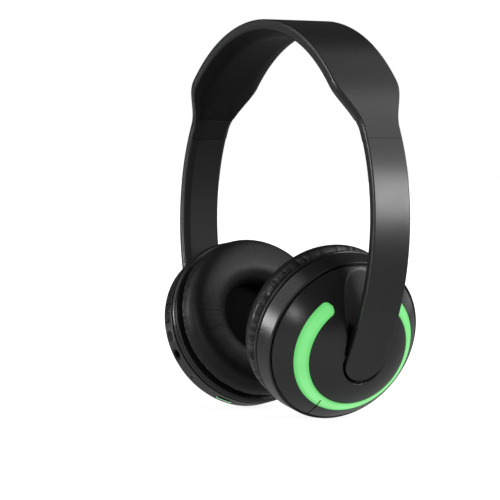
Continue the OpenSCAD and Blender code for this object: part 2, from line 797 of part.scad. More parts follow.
clip_z = -rim_w - 0.1;
clip_front = clip_z - clip_t;
module clip_ring() {
    lip = baffle_z - baffle_t - 0.1;
    r = rim_back_r - 0.1;
    color([0.16, 0.16, 0.17])
    on_cup() rotate_extrude($fn = fine)
    polygon([[baffle_r + 0.1, clip_z], [r - 1.1, clip_z], [r - 1.1, clip_z - clip_groove], [r - 0.2, clip_z - clip_groove],
        [r, clip_z - clip_groove - 0.3], [r - 0.5, clip_front + 1.6], [r - 2.2, clip_front],
        [clip_in, clip_front], [clip_in, lip], [baffle_r + 0.1, lip]]);
}

// Ring cushion: round crown, full sides that draw in towards the clip ring
pad_mid = (pad_out + pad_in) / 2;
pad_half = (pad_out - pad_in) / 2;
pad_back_h = 5.6;
pad_wide_z = clip_front - pad_gap - pad_root;
module cushion() {
    cut = asin(pad_root / pad_back_h);
    color([0.07, 0.07, 0.07])
    on_cup() rotate_extrude($fn = soft)
    polygon(concat(
        [for (i = [0:12]) let (a = i * 180 / 12) [pad_mid + pad_half * cos(a), pad_wide_z - pad_crown * sin(a)]],
        [for (i = [1:3]) let (a = i * cut / 3) [pad_mid - pad_half * cos(a), pad_wide_z + pad_back_h * sin(a)]],
        [for (i = [3:-1:1]) let (a = i * cut / 3) [pad_mid + pad_half * cos(a), pad_wide_z + pad_back_h * sin(a)]]));
}

module cup_screws() {
    z = baffle_z - baffle_t;
    color([0.55, 0.55, 0.57])
    on_cup() for (a = screw_angles) rotate([0, 0, 180 + a]) translate([screw_ring, 0, z]) {
        translate([0, 0, -screw_head_h]) cylinder(h = screw_head_h, r = screw_head_r, $fn = small);
        translate([0, 0, -eps]) cylinder(h = cup_screw_len, r = screw_r, $fn = small);
    }
}

// ---- Electronics and controls ----

main_board_z = 0.7;
module main_board() {
    color([0.1, 0.35, 0.2])
    left() on_cup() {
        translate([0, 0, main_board_z]) cylinder(h = 1.2, r = board_out - 0.8, $fn = fine);
        translate([-7, -6, main_board_z + 1.1]) cube([9, 9, 1.4]);
        translate([6, -4, main_board_z + 1.1]) cube([5, 8, 1.1]);
        translate([board_in + 0.8, -3, main_board_z + 1.1]) cube([4, 6, led_board_z - main_board_z - 1.15]);
        translate([-4, board_in, main_board_z + 1.1]) cube([8, 4, led_board_z - main_board_z - 1.15]);
    }
}

module battery() {
    color([0.75, 0.75, 0.78])
    on_cup() translate([-battery_len / 2, -battery_w / 2, led_board_z - battery_t - 0.1])
        cube([battery_len, battery_w, battery_t]);
}

flange_r = 3;
flange_out = rim_in - 0.15;
flange_t = 0.7;
cap_proud = 0.35;
module button(i) {
    color([0.09, 0.09, 0.09])
    left() on_ray(button_angle(i), -control_in) rotate([0, 90, 0]) {
        translate([0, 0, flange_out - flange_t]) cylinder(h = flange_t, r = flange_r, $fn = medium);
        translate([0, 0, flange_out - eps])
            cylinder(h = rim_at(-control_in) + cap_proud - flange_out, r = button_r, $fn = medium);
    }
}

module switches() {
    back = carrier_r + 1;
    tip = flange_out - flange_t - button_travel - 0.15;
    color([0.8, 0.8, 0.8])
    left() for (i = [0:2]) on_ray(button_angle(i), -control_in) {
        translate([back, -switch_w / 2, -switch_w / 2]) cube([switch_t, switch_w, switch_w]);
        translate([back + eps, 0, 0]) rotate([0, 90, 0]) cylinder(h = tip - back - eps, r = 1, $fn = small);
    }
}

jack_nose_r = 2.9;
jack_body = 6.1;
module audio_socket() {
    out = rim_at(-control_in) - 0.1;
    color([0.1, 0.1, 0.1])
    left() on_ray(jack_at, -control_in) difference() {
        union() {
            translate([out - jack_len - 1.5, -jack_body / 2, -jack_body / 2])
                cube([jack_len + 1.5 - (out - rim_in) - 0.3, jack_body, jack_body]);
            translate([rim_in - 1, 0, 0]) rotate([0, 90, 0]) cylinder(h = out - rim_in + 1, r = jack_nose_r, $fn = medium);
        }
        translate([out - jack_len, 0, 0]) rotate([0, 90, 0]) cylinder(h = jack_len + 1, r = jack_r, $fn = medium);
    }
}

module charging_socket() {
    out = rim_at(usb_z) - 1.1;
    depth = 6.5;
    wall = 0.3;
    color([0.65, 0.65, 0.67])
    left() on_ray(usb_at, usb_z) {
        difference() {
            translate([out - depth, 0, 0]) slot_plan(usb_w, usb_h, depth);
            translate([out - depth + 1, 0, 0]) slot_plan(usb_w - 2 * wall, usb_h - 2 * wall, depth);
        }
        translate([out - depth + 0.9, 0.5 - usb_w / 4, -0.3]) cube([4, usb_w / 2 - 1, 0.6]);
        translate([out - depth, -5, -usb_h / 2 - 0.78]) cube([depth - 2.4, 10, 0.8]);
    }
}

module status_light() {
    out = rim_at(usb_z) - 0.1;
    from = rim_in + 0.3;
    color([0.45, 0.92, 0.5])
    left() on_ray(usb_at, usb_z) difference() {
        translate([from, 0, 0]) slot_plan(usb_w + 0.95, usb_h + 0.95, out - from);
        translate([from - 1, 0, 0]) slot_plan(usb_w + 0.05, usb_h + 0.05, out - from + 2);
    }
}

module microphone() {
    color([0.7, 0.65, 0.45])
    left() on_ray(mic_at, -control_in) translate([rim_in - 1.6, 0, 0]) rotate([0, 90, 0])
        cylinder(h = 1.45, r = mic_r, $fn = medium);
}

// ---- Nodes ----

headband_shell();
headband_spring();
headband_pad();
left() end_cover();  // end_cover_left
end_cover();  // end_cover_right
headband_screws();
left() slide_strip();  // slide_strip_left
slide_strip();  // slide_strip_right
left() arm_shell();  // arm_shell_left
left() arm_cover();  // arm_cover_left
left() arm_knuckle();  // arm_knuckle_left
left() detent_spring();  // detent_spring_left
left() arm_screws();  // arm_screws_left
arm_shell();  // arm_shell_right
arm_cover();  // arm_cover_right
arm_knuckle();  // arm_knuckle_right
detent_spring();  // detent_spring_right
arm_screws();  // arm_screws_right
left() dome();  // dome_left
left() light_ring();  // light_ring_left
left() led_board();  // led_board_left
rim_left();
left() baffle();  // baffle_left
left() driver_frame();  // driver_frame_left
left() magnet();  // magnet_left
left() diaphragm();  // diaphragm_left
left() acoustic_cloth();  // acoustic_cloth_left
left() clip_ring();  // clip_ring_left
left() cushion();  // cushion_left
left() cup_screws();  // cup_screws_left
left() hinge_pin();  // hinge_pin_left
dome();  // dome_right
light_ring();  // light_ring_right
led_board();  // led_board_right
rim_right();
baffle();  // baffle_right
driver_frame();  // driver_frame_right
magnet();  // magnet_right
diaphragm();  // diaphragm_right
acoustic_cloth();  // acoustic_cloth_right
clip_ring();  // clip_ring_right
cushion();  // cushion_right
cup_screws();  // cup_screws_right
hinge_pin();  // hinge_pin_right
main_board();
battery();
button(1);  // button_play
button(0);  // button_up
button(2);  // button_down
switches();
audio_socket();
charging_socket();
status_light();
microphone();
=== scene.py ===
import math

import bmesh
import bpy
import numpy as np
from mathutils import Matrix, Vector, noise


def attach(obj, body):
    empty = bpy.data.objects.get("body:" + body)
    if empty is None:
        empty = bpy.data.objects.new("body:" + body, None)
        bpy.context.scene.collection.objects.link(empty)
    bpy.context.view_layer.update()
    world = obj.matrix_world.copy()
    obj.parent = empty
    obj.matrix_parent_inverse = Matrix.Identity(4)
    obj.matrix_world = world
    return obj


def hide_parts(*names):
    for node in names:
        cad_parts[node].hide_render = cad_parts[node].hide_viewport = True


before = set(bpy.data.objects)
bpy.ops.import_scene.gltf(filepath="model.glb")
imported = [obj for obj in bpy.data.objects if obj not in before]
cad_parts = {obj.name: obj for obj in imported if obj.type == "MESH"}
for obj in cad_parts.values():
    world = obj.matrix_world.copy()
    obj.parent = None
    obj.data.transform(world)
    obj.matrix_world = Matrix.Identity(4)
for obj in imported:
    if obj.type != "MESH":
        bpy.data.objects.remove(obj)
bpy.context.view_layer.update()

scene = bpy.context.scene
mm = 0.001

# Pieces are shaped in millimetres, either flat (x along the band, y across, z above the outer face)
# or in the ear cup's own frame (z outwards along its axis, x down), and go to their place at the end.

band = {"crownR": 85.7, "crownAngle": 40, "flankR": 90.1, "flankAngle": 78, "cheekR": 98.7,
        "armR": 101.1, "straightFrom": 194, "top": 179.955,
        "half": 9.3, "crownExtra": 7.4, "taperFrom": 70.6, "taperOver": 25.9}
cup = {"x": 48.1189, "z": 35.7096, "tilt": 19.4}
cupTurn = Matrix.Rotation(math.radians(90 + cup["tilt"]), 4, "Y")
cupPlace = Matrix.Translation((cup["x"], 0, cup["z"])) @ cupTurn


def alone(obj):  # the only object selected, in object mode
    if bpy.context.mode != "OBJECT":
        bpy.ops.object.mode_set(mode="OBJECT")
    bpy.ops.object.select_all(action="DESELECT")
    obj.select_set(True)
    bpy.context.view_layer.objects.active = obj
    return obj


def added(name):  # the object that an operator has just added
    obj = bpy.context.object
    obj.name = obj.data.name = name
    return alone(obj)


def openMesh(obj, test=None, kind="FACE"):  # edit mode, with all or the faces that pass the test selected
    alone(obj)
    bpy.ops.object.mode_set(mode="EDIT")
    bpy.ops.mesh.select_mode(type=kind)
    bpy.ops.mesh.select_all(action="DESELECT" if test else "SELECT")
    if test:
        mesh = bmesh.from_edit_mesh(obj.data)
        for face in mesh.faces:
            if test(face):
                face.select_set(True)
        bmesh.update_edit_mesh(obj.data)


def closeMesh(obj, gap=0.001):  # welds what lies closer than the gap
    bpy.ops.mesh.select_all(action="SELECT")
    bpy.ops.mesh.remove_doubles(threshold=gap)
    bpy.ops.object.mode_set(mode="OBJECT")
    return obj


def welded(obj):  # joins points that lie on one another
    openMesh(obj)
    return closeMesh(obj)


def faceOut(obj):  # turns a closed mesh that is inside out
    mesh = bmesh.new()
    mesh.from_mesh(obj.data)
    inside = mesh.calc_volume(signed=True) < 0
    mesh.free()
    if inside:
        openMesh(obj)
        bpy.ops.mesh.flip_normals()
        bpy.ops.object.mode_set(mode="OBJECT")
    return obj


def getPoints(obj):
    flat = np.empty(len(obj.data.vertices) * 3, np.float32)
    obj.data.vertices.foreach_get("co", flat)
    return flat.reshape(-1, 3).astype(float)


def setPoints(obj, points):
    obj.data.vertices.foreach_set("co", points.astype(np.float32).ravel())
    obj.data.update()
    return obj


def modify(obj, kind, **settings):  # adds a modifier and applies it
    alone(obj)
    modifier = obj.modifiers.new(kind.title(), kind)
    for key, value in settings.items():
        setattr(modifier, key, value)
    bpy.ops.object.modifier_apply(modifier=modifier.name)
    return obj


def carve(obj, *tools, solver="EXACT"):  # cuts the tools out of a piece and removes them
    for tool in tools:
        modify(obj, "BOOLEAN", object=tool, operation="DIFFERENCE", solver=solver)
        bpy.data.objects.remove(tool)
    return obj


def cutOff(obj, at, outward, gap=0.001):  # takes away what lies beyond a plane and closes the end
    openMesh(obj)
    bpy.ops.mesh.bisect(plane_co=at, plane_no=outward, use_fill=True, clear_outer=True)
    return closeMesh(obj, gap)


def remember(obj, name, values, kind="FLOAT", field="value"):  # keeps a value at each point, for the shaders
    layer = obj.data.attributes.new(name, kind, "POINT")
    layer.data.foreach_set(field, values.astype(np.float32).ravel())
    return obj


def follow(points):  # flat millimetres to metres along the band and arms
    s, across, up = points.T
    crownEnd = band["crownR"] * math.radians(band["crownAngle"])
    flankEnd = crownEnd + band["flankR"] * math.radians(band["flankAngle"] - band["crownAngle"])
    cheekEnd = flankEnd + band["cheekR"] * math.radians(90 - band["flankAngle"])
    reach = np.abs(s)
    onArc = np.minimum(reach, band["straightFrom"])
    arcs = ((0, band["crownR"], 0), (crownEnd, band["flankR"], math.radians(band["crownAngle"])),
            (flankEnd, band["cheekR"], math.radians(band["flankAngle"])),
            (cheekEnd, band["armR"], math.pi / 2))
    centre, lastR = np.array([0.0, 0.0]), 0
    lean, x, z = np.zeros_like(s), np.zeros_like(s), np.zeros_like(s)
    for start, radius, angle in arcs:
        centre = centre + (lastR - radius) * np.array([math.sin(angle), math.cos(angle)])
        lastR = radius
        here = onArc >= start
        a = angle + (onArc - start) / radius
        lean = np.where(here, a, lean)
        x = np.where(here, centre[0] + radius * np.sin(a), x)
        z = np.where(here, centre[1] + radius * np.cos(a), z)
    rest = reach - onArc
    x = x + rest * np.cos(lean) + up * np.sin(lean)
    z = z - rest * np.sin(lean) + up * np.cos(lean)
    return np.stack([np.where(s < 0, -x, x), across, band["top"] + z], 1) * mm


def followBand(obj):
    return faceOut(setPoints(obj, follow(getPoints(obj))))


def seatInCup(obj):  # cup millimetres to metres, in the right cup's place
    points = getPoints(obj)
    turn = np.array(cupPlace)
    return faceOut(setPoints(obj, (points @ turn[:3, :3].T + turn[:3, 3]) * mm))


def moved(obj, place):
    m = np.array(place)
    return faceOut(setPoints(obj, getPoints(obj) @ m[:3, :3].T + m[:3, 3]))


def flipped(obj):  # moves a piece to the other ear
    openMesh(obj)
    bpy.ops.transform.resize(value=(-1, 1, 1), center_override=(0, 0, 0))
    bpy.ops.object.mode_set(mode="OBJECT")
    return faceOut(obj)


def mirrored(obj, name):  # the same piece for the other ear, with its own mesh
    alone(obj)
    bpy.ops.object.duplicate()
    return flipped(added(name))


def smoothStep(t):
    u = np.clip(t, 0, 1)
    return u * u * (3 - 2 * u)


def halfWidth(s):  # wide over the head, then narrowing to the arms
    v = band
    return v["half"] + v["crownExtra"] * (1 - smoothStep((np.abs(s) - v["taperFrom"]) / v["taperOver"]))


def roundOver(r):  # inward and upward steps of a rounded edge
    steps = 3
    angles = [math.pi / 2 * i / steps for i in range(steps + 1)]
    arc = [(r * (math.cos(a) - math.cos(b)), r * (math.sin(b) - math.sin(a)))
           for a, b in zip(angles, angles[1:])]
    return arc + [(0.2, 0)]  # the last step keeps the flat beyond it flat


innerEdge = [(0.1, 0.07), (0.16, 0.04), (0.25, 0.01), (0.2, 0)]  # flatter steps, for an inner face
edgeDrop = 0.12  # how far those steps go in all


def strip(name, stations, halves, columns, z):  # flat sheet of quads with a half width at each station
    bpy.ops.mesh.primitive_grid_add(x_subdivisions=len(stations) - 1, y_subdivisions=columns, size=1)
    obj = added(name)
    points = getPoints(obj)
    row = np.rint((points[:, 0] + 0.5) * (len(stations) - 1)).astype(int)
    points[:, 0] = np.asarray(stations)[row]
    points[:, 1] *= 2 * np.asarray(halves)[row]
    points[:, 2] = z
    return setPoints(obj, points)


def slab(obj, drop):  # gives a sheet a thickness downwards
    openMesh(obj)
    bpy.ops.mesh.extrude_region_move(TRANSFORM_OT_translate={"value": (0, 0, -drop)})
    bpy.ops.mesh.select_all(action="SELECT")
    bpy.ops.mesh.normals_make_consistent(inside=False)
    return closeMesh(obj)


def stepFaces(obj, side, steps, until=1000):  # insets and moves the faces that look up (1) or down (-1)
    level = side * max(side * getPoints(obj)[:, 2]) - side * 0.01
    openMesh(obj, lambda f: side * f.normal.z > 0.9 and side * (f.calc_center_median().z - level) > 0
             and f.calc_center_median().x < until)
    for inward, rise in steps:
        if inward:
            bpy.ops.mesh.inset(thickness=inward, use_boundary=True)
            bpy.ops.transform.translate(value=(0, 0, side * rise))
        else:
            bpy.ops.mesh.extrude_region_move(TRANSFORM_OT_translate={"value": (0, 0, side * rise)})
    return closeMesh(obj)


def supported(rings):  # adds rings close to the corners, so that long faces stay straight
    near = 0.15
    made = [rings[0]]
    for (r1, z1), (r2, z2) in zip(rings, rings[1:]):
        length = math.hypot(r2 - r1, z2 - z1)
        if length > 6 * near:
            for t in (near / length, 1 - near / length):
                made.append((r1 + (r2 - r1) * t, z1 + (z2 - z1) * t))
        made.append((r2, z2))
    return made


def turned(name, rings, segments):  # solid of revolution round z; rings are (radius, z)
    pole = 0.0005
    r0, z0 = rings[0]
    bpy.ops.mesh.primitive_circle_add(vertices=segments, radius=max(r0, pole), location=(0, 0, z0))
    obj = added(name)
    bpy.ops.object.transform_apply(location=True)
    openMesh(obj, kind="EDGE")
    for (r1, z1), (r2, z2) in zip(rings, rings[1:]):
        bpy.ops.mesh.extrude_region_move(TRANSFORM_OT_translate={"value": (0, 0, z2 - z1)})
        grow = max(r2, pole) / max(r1, pole)
        bpy.ops.transform.resize(value=(grow, grow, 1), center_override=(0, 0, z2))
    bpy.ops.mesh.select_all(action="SELECT")
    bpy.ops.mesh.remove_doubles(threshold=0.003)
    bpy.ops.mesh.normals_make_consistent(inside=False)
    bpy.ops.object.mode_set(mode="OBJECT")
    return faceOut(obj)


def smoothShade(obj, angle):
    alone(obj)
    bpy.ops.object.shade_smooth_by_angle(angle=math.radians(angle))
    return obj


class Wire:  # an output in a shader tree; arithmetic on it adds Math nodes
    def __init__(self, finish, socket):
        self.finish = finish
        self.socket = socket

    def math(self, operation, *values):
        return self.finish.node("Math", {"operation": operation}, dict(enumerate(values)))

    def __add__(self, other):
        return self.math("ADD", self, other)

    def __sub__(self, other):
        return self.math("SUBTRACT", self, other)

    def __rsub__(self, other):
        return self.math("SUBTRACT", other, self)

    def __mul__(self, other):
        return self.math("MULTIPLY", self, other)

    __radd__, __rmul__ = __add__, __mul__

    def larger(self, other):
        return self.math("MAXIMUM", self, other)


class Finish:  # a material, or the world, built from nodes
    def __init__(self, name, owner=None):
        self.owner = owner or bpy.data.materials.new(name)
        self.owner.use_nodes = True
        self.tree = self.owner.node_tree
        self.tree.nodes.clear()

    def node(self, kind, settings=None, values=None, out=0):
        made = self.tree.nodes.new("ShaderNode" + kind)
        for key, value in (settings or {}).items():
            if key == "stops":
                ramp = made.color_ramp.elements
                for i, (at, tone) in enumerate(value):
                    stop = ramp[i] if i < 2 else ramp.new(at)
                    stop.position, stop.color = at, (tone, tone, tone, 1)
            else:
                setattr(made, key, value)
        for key, value in (values or {}).items():
            if isinstance(value, Wire):
                self.tree.links.new(value.socket, made.inputs[key])
            else:
                made.inputs[key].default_value = value
        return Wire(self, made.outputs[out]) if made.outputs else None

    def place(self):
        return self.node("TexCoord", out="Object")

    def stretched(self, scale, turn=(0, 0, 0)):
        return self.node("Mapping", None, {"Vector": self.place(), "Rotation": turn, "Scale": scale})

    def attribute(self, name, out="Fac"):
        return self.node("Attribute", {"attribute_name": name}, out=out)

    def cloud(self, scale, detail, at=None):
        return self.node("TexNoise", None, {"Vector": at or self.place(), "Scale": scale, "Detail": detail})

    def ramp(self, value, *stops):
        return self.node("ValToRGB", {"stops": stops}, {"Fac": value})

    def mix(self, factor, a, b):  # 6, 7 and 2 are the node's colour sockets
        return self.node("Mix", {"data_type": "RGBA"}, {0: factor, 6: a, 7: b}, out=2)

    def surface(self, height=None, depth=0, **values):  # relief in millimetres, and the shader's own inputs
        if height is not None:
            values["Normal"] = self.node("Bump", None, {"Height": height, "Distance": depth * mm})
        shader = self.node("BsdfPrincipled", None, {key.replace("_", " "): v for key, v in values.items()})
        self.node("OutputMaterial", None, {"Surface": shader})
        return self.owner


def tone(value, tint=(1, 1, 1)):
    return (*(value * t for t in tint), 1)


def satinPlastic(name, values):  # moulded plastic: spark-eroded grain, faint mottling and handling marks
    f = Finish(name)
    grain = f.cloud(values["grain"], 3)
    mottle = f.cloud(55, 4)
    marks = f.ramp(f.cloud(1, 5, f.stretched((60, 420, 60), (0.3, 0.5, 0.2))), (0.5, 0), (0.8, 1))
    light, dark = values["tone"] * 1.12, values["tone"] * 0.88
    color = f.mix(mottle, tone(dark, values["tint"]), tone(light, values["tint"]))
    rough = values["rough"] - 0.05 + mottle * 0.08 - marks * 0.03
    if "hollow" in values:
        rough = rough + f.attribute("hollow") * values["hollow"]
    return f.surface(Base_Color=color, Roughness=rough, height=grain, depth=values["depth"],
                     Specular_IOR_Level=values["gloss"])


plastics = {
    "shell": {"tone": 0.0095, "tint": (1, 1, 1.03), "rough": 0.32, "grain": 3200, "depth": 0.008, "gloss": 0.5},
    "armInner": {"tone": 0.014, "tint": (1, 1, 1.02), "rough": 0.56, "grain": 3000, "depth": 0.012,
                 "gloss": 0.16},
    "dome": {"tone": 0.013, "tint": (1, 1, 1.02), "rough": 0.3, "grain": 3000, "depth": 0.010, "gloss": 0.5,
             "hollow": 0.3},
    "rim": {"tone": 0.012, "tint": (1, 1, 1.02), "rough": 0.29, "grain": 3600, "depth": 0.006, "gloss": 0.5},
    "button": {"tone": 0.005, "tint": (1, 1, 1.02), "rough": 0.52, "grain": 4000, "depth": 0.006,
               "gloss": 0.25},
    "endCover": {"tone": 0.009, "tint": (1, 1, 1.02), "rough": 0.5, "grain": 3000, "depth": 0.012,
                 "gloss": 0.16},
    "innerPlastic": {"tone": 0.014, "tint": (1, 1, 1), "rough": 0.55, "grain": 2600, "depth": 0.02,
                     "gloss": 0.35},
}
finishes = {name: satinPlastic(name, values) for name, values in plastics.items()}

leathers = {
    # the cushion's last tone is a painted highlight, which lightens the ridges of its pleats
    "cushionLeather": {"dark": 0.006, "light": 0.011, "rough": 0.38, "pebble": 0.05, "gloss": 0.28,
                       "pucker": 0.7, "paintedPleatGlint": 0.045},
    "padLeather": {"dark": 0.004, "light": 0.007, "rough": 0.50, "pebble": 0.02, "gloss": 0.14, "pucker": 0},
}


def leatherette(name, values):  # pebbled grain with fine pores, gathered along the seam where there is one, with a painted highlight on the pleats' ridges
    f = Finish(name)
    warp = f.cloud(420, 2)
    cells = f.node("TexVoronoi", {"feature": "DISTANCE_TO_EDGE"}, {"Vector": f.place(), "Scale": 1900,
                                                                   "Randomness": 0.95})
    pebble = f.ramp(cells, (0.0, 0), (0.3, 1))
    creases = f.ramp(f.cloud(120, 4), (0.42, 0), (0.6, 1))
    mottle = f.cloud(70, 3)
    height = (pebble * 0.5 + warp * 0.5 + creases * 0.6) * values["pebble"]
    rough = values["rough"] + mottle * 0.1 - pebble * 0.05
    shine = 0.0
    if values["pucker"]:
        seam, around = f.attribute("seam"), f.attribute("around", "Vector")
        wave = f.node("TexNoise", None, {"Vector": around, "Scale": 0.28, "Detail": 3, "Roughness": 0.7})
        pleats = f.ramp(f.cloud(0.62, 1, around), (0.4, 0), (0.6, 1))
        gathered = f.ramp((seam + wave * 1.6) * 0.25, (0.55, 1), (0.95, 0))
        stitch = f.ramp(seam, (0.1, 0), (0.45, 1))
        height = height + gathered * pleats * values["pucker"] + stitch * 0.15 + wave * 0.3
        shine = gathered * pleats * 0.7
    color = f.mix(pebble * 0.6 + warp * 0.4, tone(values["dark"]), tone(values["light"], (1, 1, 1.02)))
    # painted highlight: the pleats' ridges are lightened towards a pale tone, for the glints where the gathered
    # cover catches the light; the same mask also gives them a clear coat
    if values["pucker"]:
        color = f.mix(shine, color, tone(values["paintedPleatGlint"]))
    return f.surface(Base_Color=color, Roughness=rough, height=height, depth=1.0,
                     Specular_IOR_Level=values["gloss"], Coat_Weight=shine, Coat_Roughness=0.2)


def glowingGreen():  # frosted light guide, brighter over its lamps
    f = Finish("glowingGreen")
    edge = f.attribute("ringEdge")
    veil = f.cloud(90, 3)
    pools = f.ramp(f.cloud(38, 1), (0.35, 0), (0.7, 1))
    middle = f.ramp(edge, (0.35, 1), (0.9, 0.25), (1.0, 0.0))
    glow = f.mix(middle * (pools * 0.5 + veil * 0.35 + 0.3), (0.10, 0.52, 0.12, 1), (0.28, 0.84, 0.30, 1))
    return f.surface(Base_Color=(0.04, 0.18, 0.05, 1), Roughness=0.3, Emission_Color=glow,
                     Emission_Strength=1.0, height=f.cloud(900, 2), depth=0.01)


def paleGlow():
    f = Finish("paleGlow")
    veil = f.cloud(400, 2)
    glow = f.mix(veil, (0.30, 0.72, 0.36, 1), (0.62, 0.95, 0.66, 1))
    return f.surface(Base_Color=(0.10, 0.2, 0.11, 1), Roughness=0.35 + veil * 0.1, Emission_Color=glow,
                     Emission_Strength=0.8)


def brushedSteel(name, low, high):
    f = Finish(name)
    lines = f.cloud(1, 3, f.stretched((300, 5200, 300)))
    stain = f.cloud(60, 3)
    warm = (1, 0.99, 0.97)
    return f.surface(Base_Color=f.mix(stain, tone(low, warm), tone(high, warm)), Roughness=0.26 + lines * 0.16,
                     height=lines, depth=0.008, Metallic=1.0)


def circuitBoard():
    f = Finish("circuitBoard")
    askew = f.stretched((1, 1, 1), (0, 0, 0.8))
    tracks = f.node("TexBrick", {"offset": 0.37, "squash": 0.6},
                    {"Vector": askew, "Scale": 260, "Mortar Size": 0.03}, out="Fac")
    weave = f.cloud(1500, 2)
    color = f.mix(tracks, (0.010, 0.085, 0.035, 1), (0.035, 0.20, 0.09, 1))
    return f.surface(Base_Color=color, Roughness=0.3 + weave * 0.15, height=tracks + weave * 0.3, depth=0.03)


def speakerCone():
    f = Finish("speakerCone")
    fibres = f.cloud(1, 4, f.stretched((900, 2600, 900)))
    return f.surface(Base_Color=f.mix(fibres, (0.38, 0.33, 0.21, 1), (0.55, 0.49, 0.33, 1)),
                     Roughness=0.35 + fibres * 0.2, height=fibres, depth=0.03)


def acousticCloth():  # open woven mesh
    f = Finish("acousticCloth")
    spots = f.node("Mapping", None, {"Vector": f.place(), "Rotation": (0, math.radians(cup["tilt"]), 0)})
    threads = {"Vector": spots, "Scale": 260, "Distortion": 0.4}
    warp, weft = (f.node("TexWave", {"bands_direction": axis}, threads) for axis in "YZ")
    over = warp.larger(weft)
    return f.surface(Base_Color=f.mix(over, tone(0.001), tone(0.005)), Roughness=0.9 - over * 0.1,
                     height=over, depth=0.12, Specular_IOR_Level=0.1)


def cellFoil():
    f = Finish("cellFoil")
    folds = f.cloud(240, 4)
    return f.surface(Base_Color=f.mix(folds, tone(0.52), tone(0.66)), Roughness=0.2 + folds * 0.2,
                     height=folds, depth=0.15, Metallic=0.9)


def wovenSponge():
    f = Finish("wovenSponge")
    cells = f.node("TexVoronoi", None, {"Vector": f.place(), "Scale": 2600})
    return f.surface(Base_Color=f.mix(cells, (0.05, 0.045, 0.035, 1), (0.16, 0.14, 0.10, 1)),
                     Roughness=0.7 + cells * 0.2, height=cells, depth=0.1)


finishes.update({name: leatherette(name, values) for name, values in leathers.items()})
finishes.update(glowingGreen=glowingGreen(), paleGlow=paleGlow(),
                steel=brushedSteel("brushedSteel", 0.46, 0.58), darkSteel=brushedSteel("darkSteel", 0.10, 0.16),
                circuit=circuitBoard(), cone=speakerCone(), cloth=acousticCloth(), foil=cellFoil(),
                sponge=wovenSponge())
print("finishes made")


def finished(obj, finish, body, node):  # dresses a piece, lets it ride, hides what it replaces
    obj.data.materials.clear()
    obj.data.materials.append(finishes[finish])
    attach(obj, body)
    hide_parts(node)
    return obj


def finishedPair(right, left, finish, body, node):
    for obj, side in ((right, "_right"), (left, "_left")):
        finished(obj, finish, body + side, node + side)


def dress(obj, finish, test):  # another finish on the faces that pass the test
    obj.data.materials.append(finishes[finish])
    openMesh(obj, test)
    obj.active_material_index = len(obj.data.materials) - 1
    bpy.ops.object.material_slot_assign()
    bpy.ops.object.mode_set(mode="OBJECT")


stripSlot = {"half": 5.2, "top": 2.1, "bottom": 5.05}


def openEnd(obj, start, end):  # lets the slide strip through a closed end
    v = stripSlot
    tool = slab(strip("slot", [start, end], [v["half"]] * 2, 1, -v["top"]), v["bottom"] - v["top"])
    return carve(obj, tool, solver="MANIFOLD")


bandShell = {"end": 101.5, "spare": 0.7, "edge": 4.2, "plate": 2.0, "rim": 1.6, "corner": 0.5, "lip": 0.1,
             "slotIn": 3, "slotOut": 1, "step": 1.45}


def makeBandShell(v):
    reach = v["end"] + v["spare"]
    stations = np.linspace(-reach, reach, round(2 * reach / v["step"]) + 1)
    sheet = strip("headbandShell", stations, halfWidth(stations), 2, -v["corner"])
    obj = slab(sheet, v["edge"] - v["corner"] - v["lip"])
    stepFaces(obj, 1, roundOver(v["corner"]))
    stepFaces(obj, -1, [(v["lip"], v["lip"]), (v["rim"] - v["lip"], 0), (0, v["plate"] - v["edge"])])
    cutOff(obj, (v["end"], 0, 0), (1, 0, 0))
    cutOff(obj, (-v["end"], 0, 0), (-1, 0, 0))
    openEnd(obj, v["end"] - v["slotIn"], v["end"] + v["slotOut"])
    openEnd(obj, -v["end"] - v["slotOut"], v["slotIn"] - v["end"])
    return smoothShade(followBand(obj), 50)


finished(makeBandShell(bandShell), "shell", "headband", "headband_shell")

endCover = {"start": 90.35, "end": 101.5, "inner": 4.26, "lean": 2.8, "height": 2.24, "clear": 0.02}


def leanIn(obj, level, bevel, half, bend=1000):  # narrows what lies below the level towards the middle
    points = getPoints(obj)
    low = points[:, 2] < level
    halves = half(points[:, 0]) if callable(half) else half
    keep = (halves - bevel) / halves
    beyond = np.maximum(points[:, 0] - bend, 0)
    points[:, 1] = np.where(low, points[:, 1] * keep, points[:, 1])
    points[:, 0] = np.where(low, points[:, 0] - beyond * (1 - keep), points[:, 0])
    return setPoints(obj, points)


def makeEndCover(v):
    stations = np.linspace(v["start"], v["end"], 10)
    obj = slab(strip("endCoverRight", stations, halfWidth(stations) - v["clear"], 2, -v["inner"]),
               v["height"] - edgeDrop)
    leanIn(obj, -v["inner"] - 0.5, v["lean"] - 0.3, halfWidth)
    stepFaces(obj, -1, innerEdge)
    return smoothShade(followBand(obj), 35)


endCoverRight = makeEndCover(endCover)
endCoverLeft = mirrored(endCoverRight, "endCoverLeft")
finished(endCoverRight, "endCover", "headband", "end_cover_right")
finished(endCoverLeft, "endCover", "headband", "end_cover_left")
print("headband shell and end covers made")

arm = {"top": 101.64, "spare": 0.7, "coverTop": 101.8, "tip": 216.3, "half": 9.3, "widen": 0.3,
       "widenFrom": 130, "widenOver": 60, "corner": 0.5, "lip": 0.1, "edge": 3.2, "seam": 0.06,
       "clear": 0.02, "wall": 1.6, "rim": 1.6, "depth": 6.4, "straight": 3.9, "bevel": 2.4,
       "hollowRim": 1.3, "hollow": 1.7, "hollowTo": 202, "slotOut": 1, "slotIn": 3, "coverSlotIn": 4,
       "step": 1.45, "tipSteps": 14}


def armStations(v, top):
    half = v["half"] + v["widen"]
    bend = v["tip"] - half
    straight = np.linspace(top, bend, round((bend - top) / v["step"]) + 1)
    angles = np.linspace(0, math.pi / 2, v["tipSteps"] + 1)[1:]
    stations = np.concatenate([straight, bend + half * np.sin(angles)])
    wider = v["widen"] * smoothStep((straight - v["widenFrom"]) / v["widenOver"])
    halves = np.concatenate([v["half"] + wider, half * np.cos(angles)])
    halves[-1] = 0
    return stations, halves


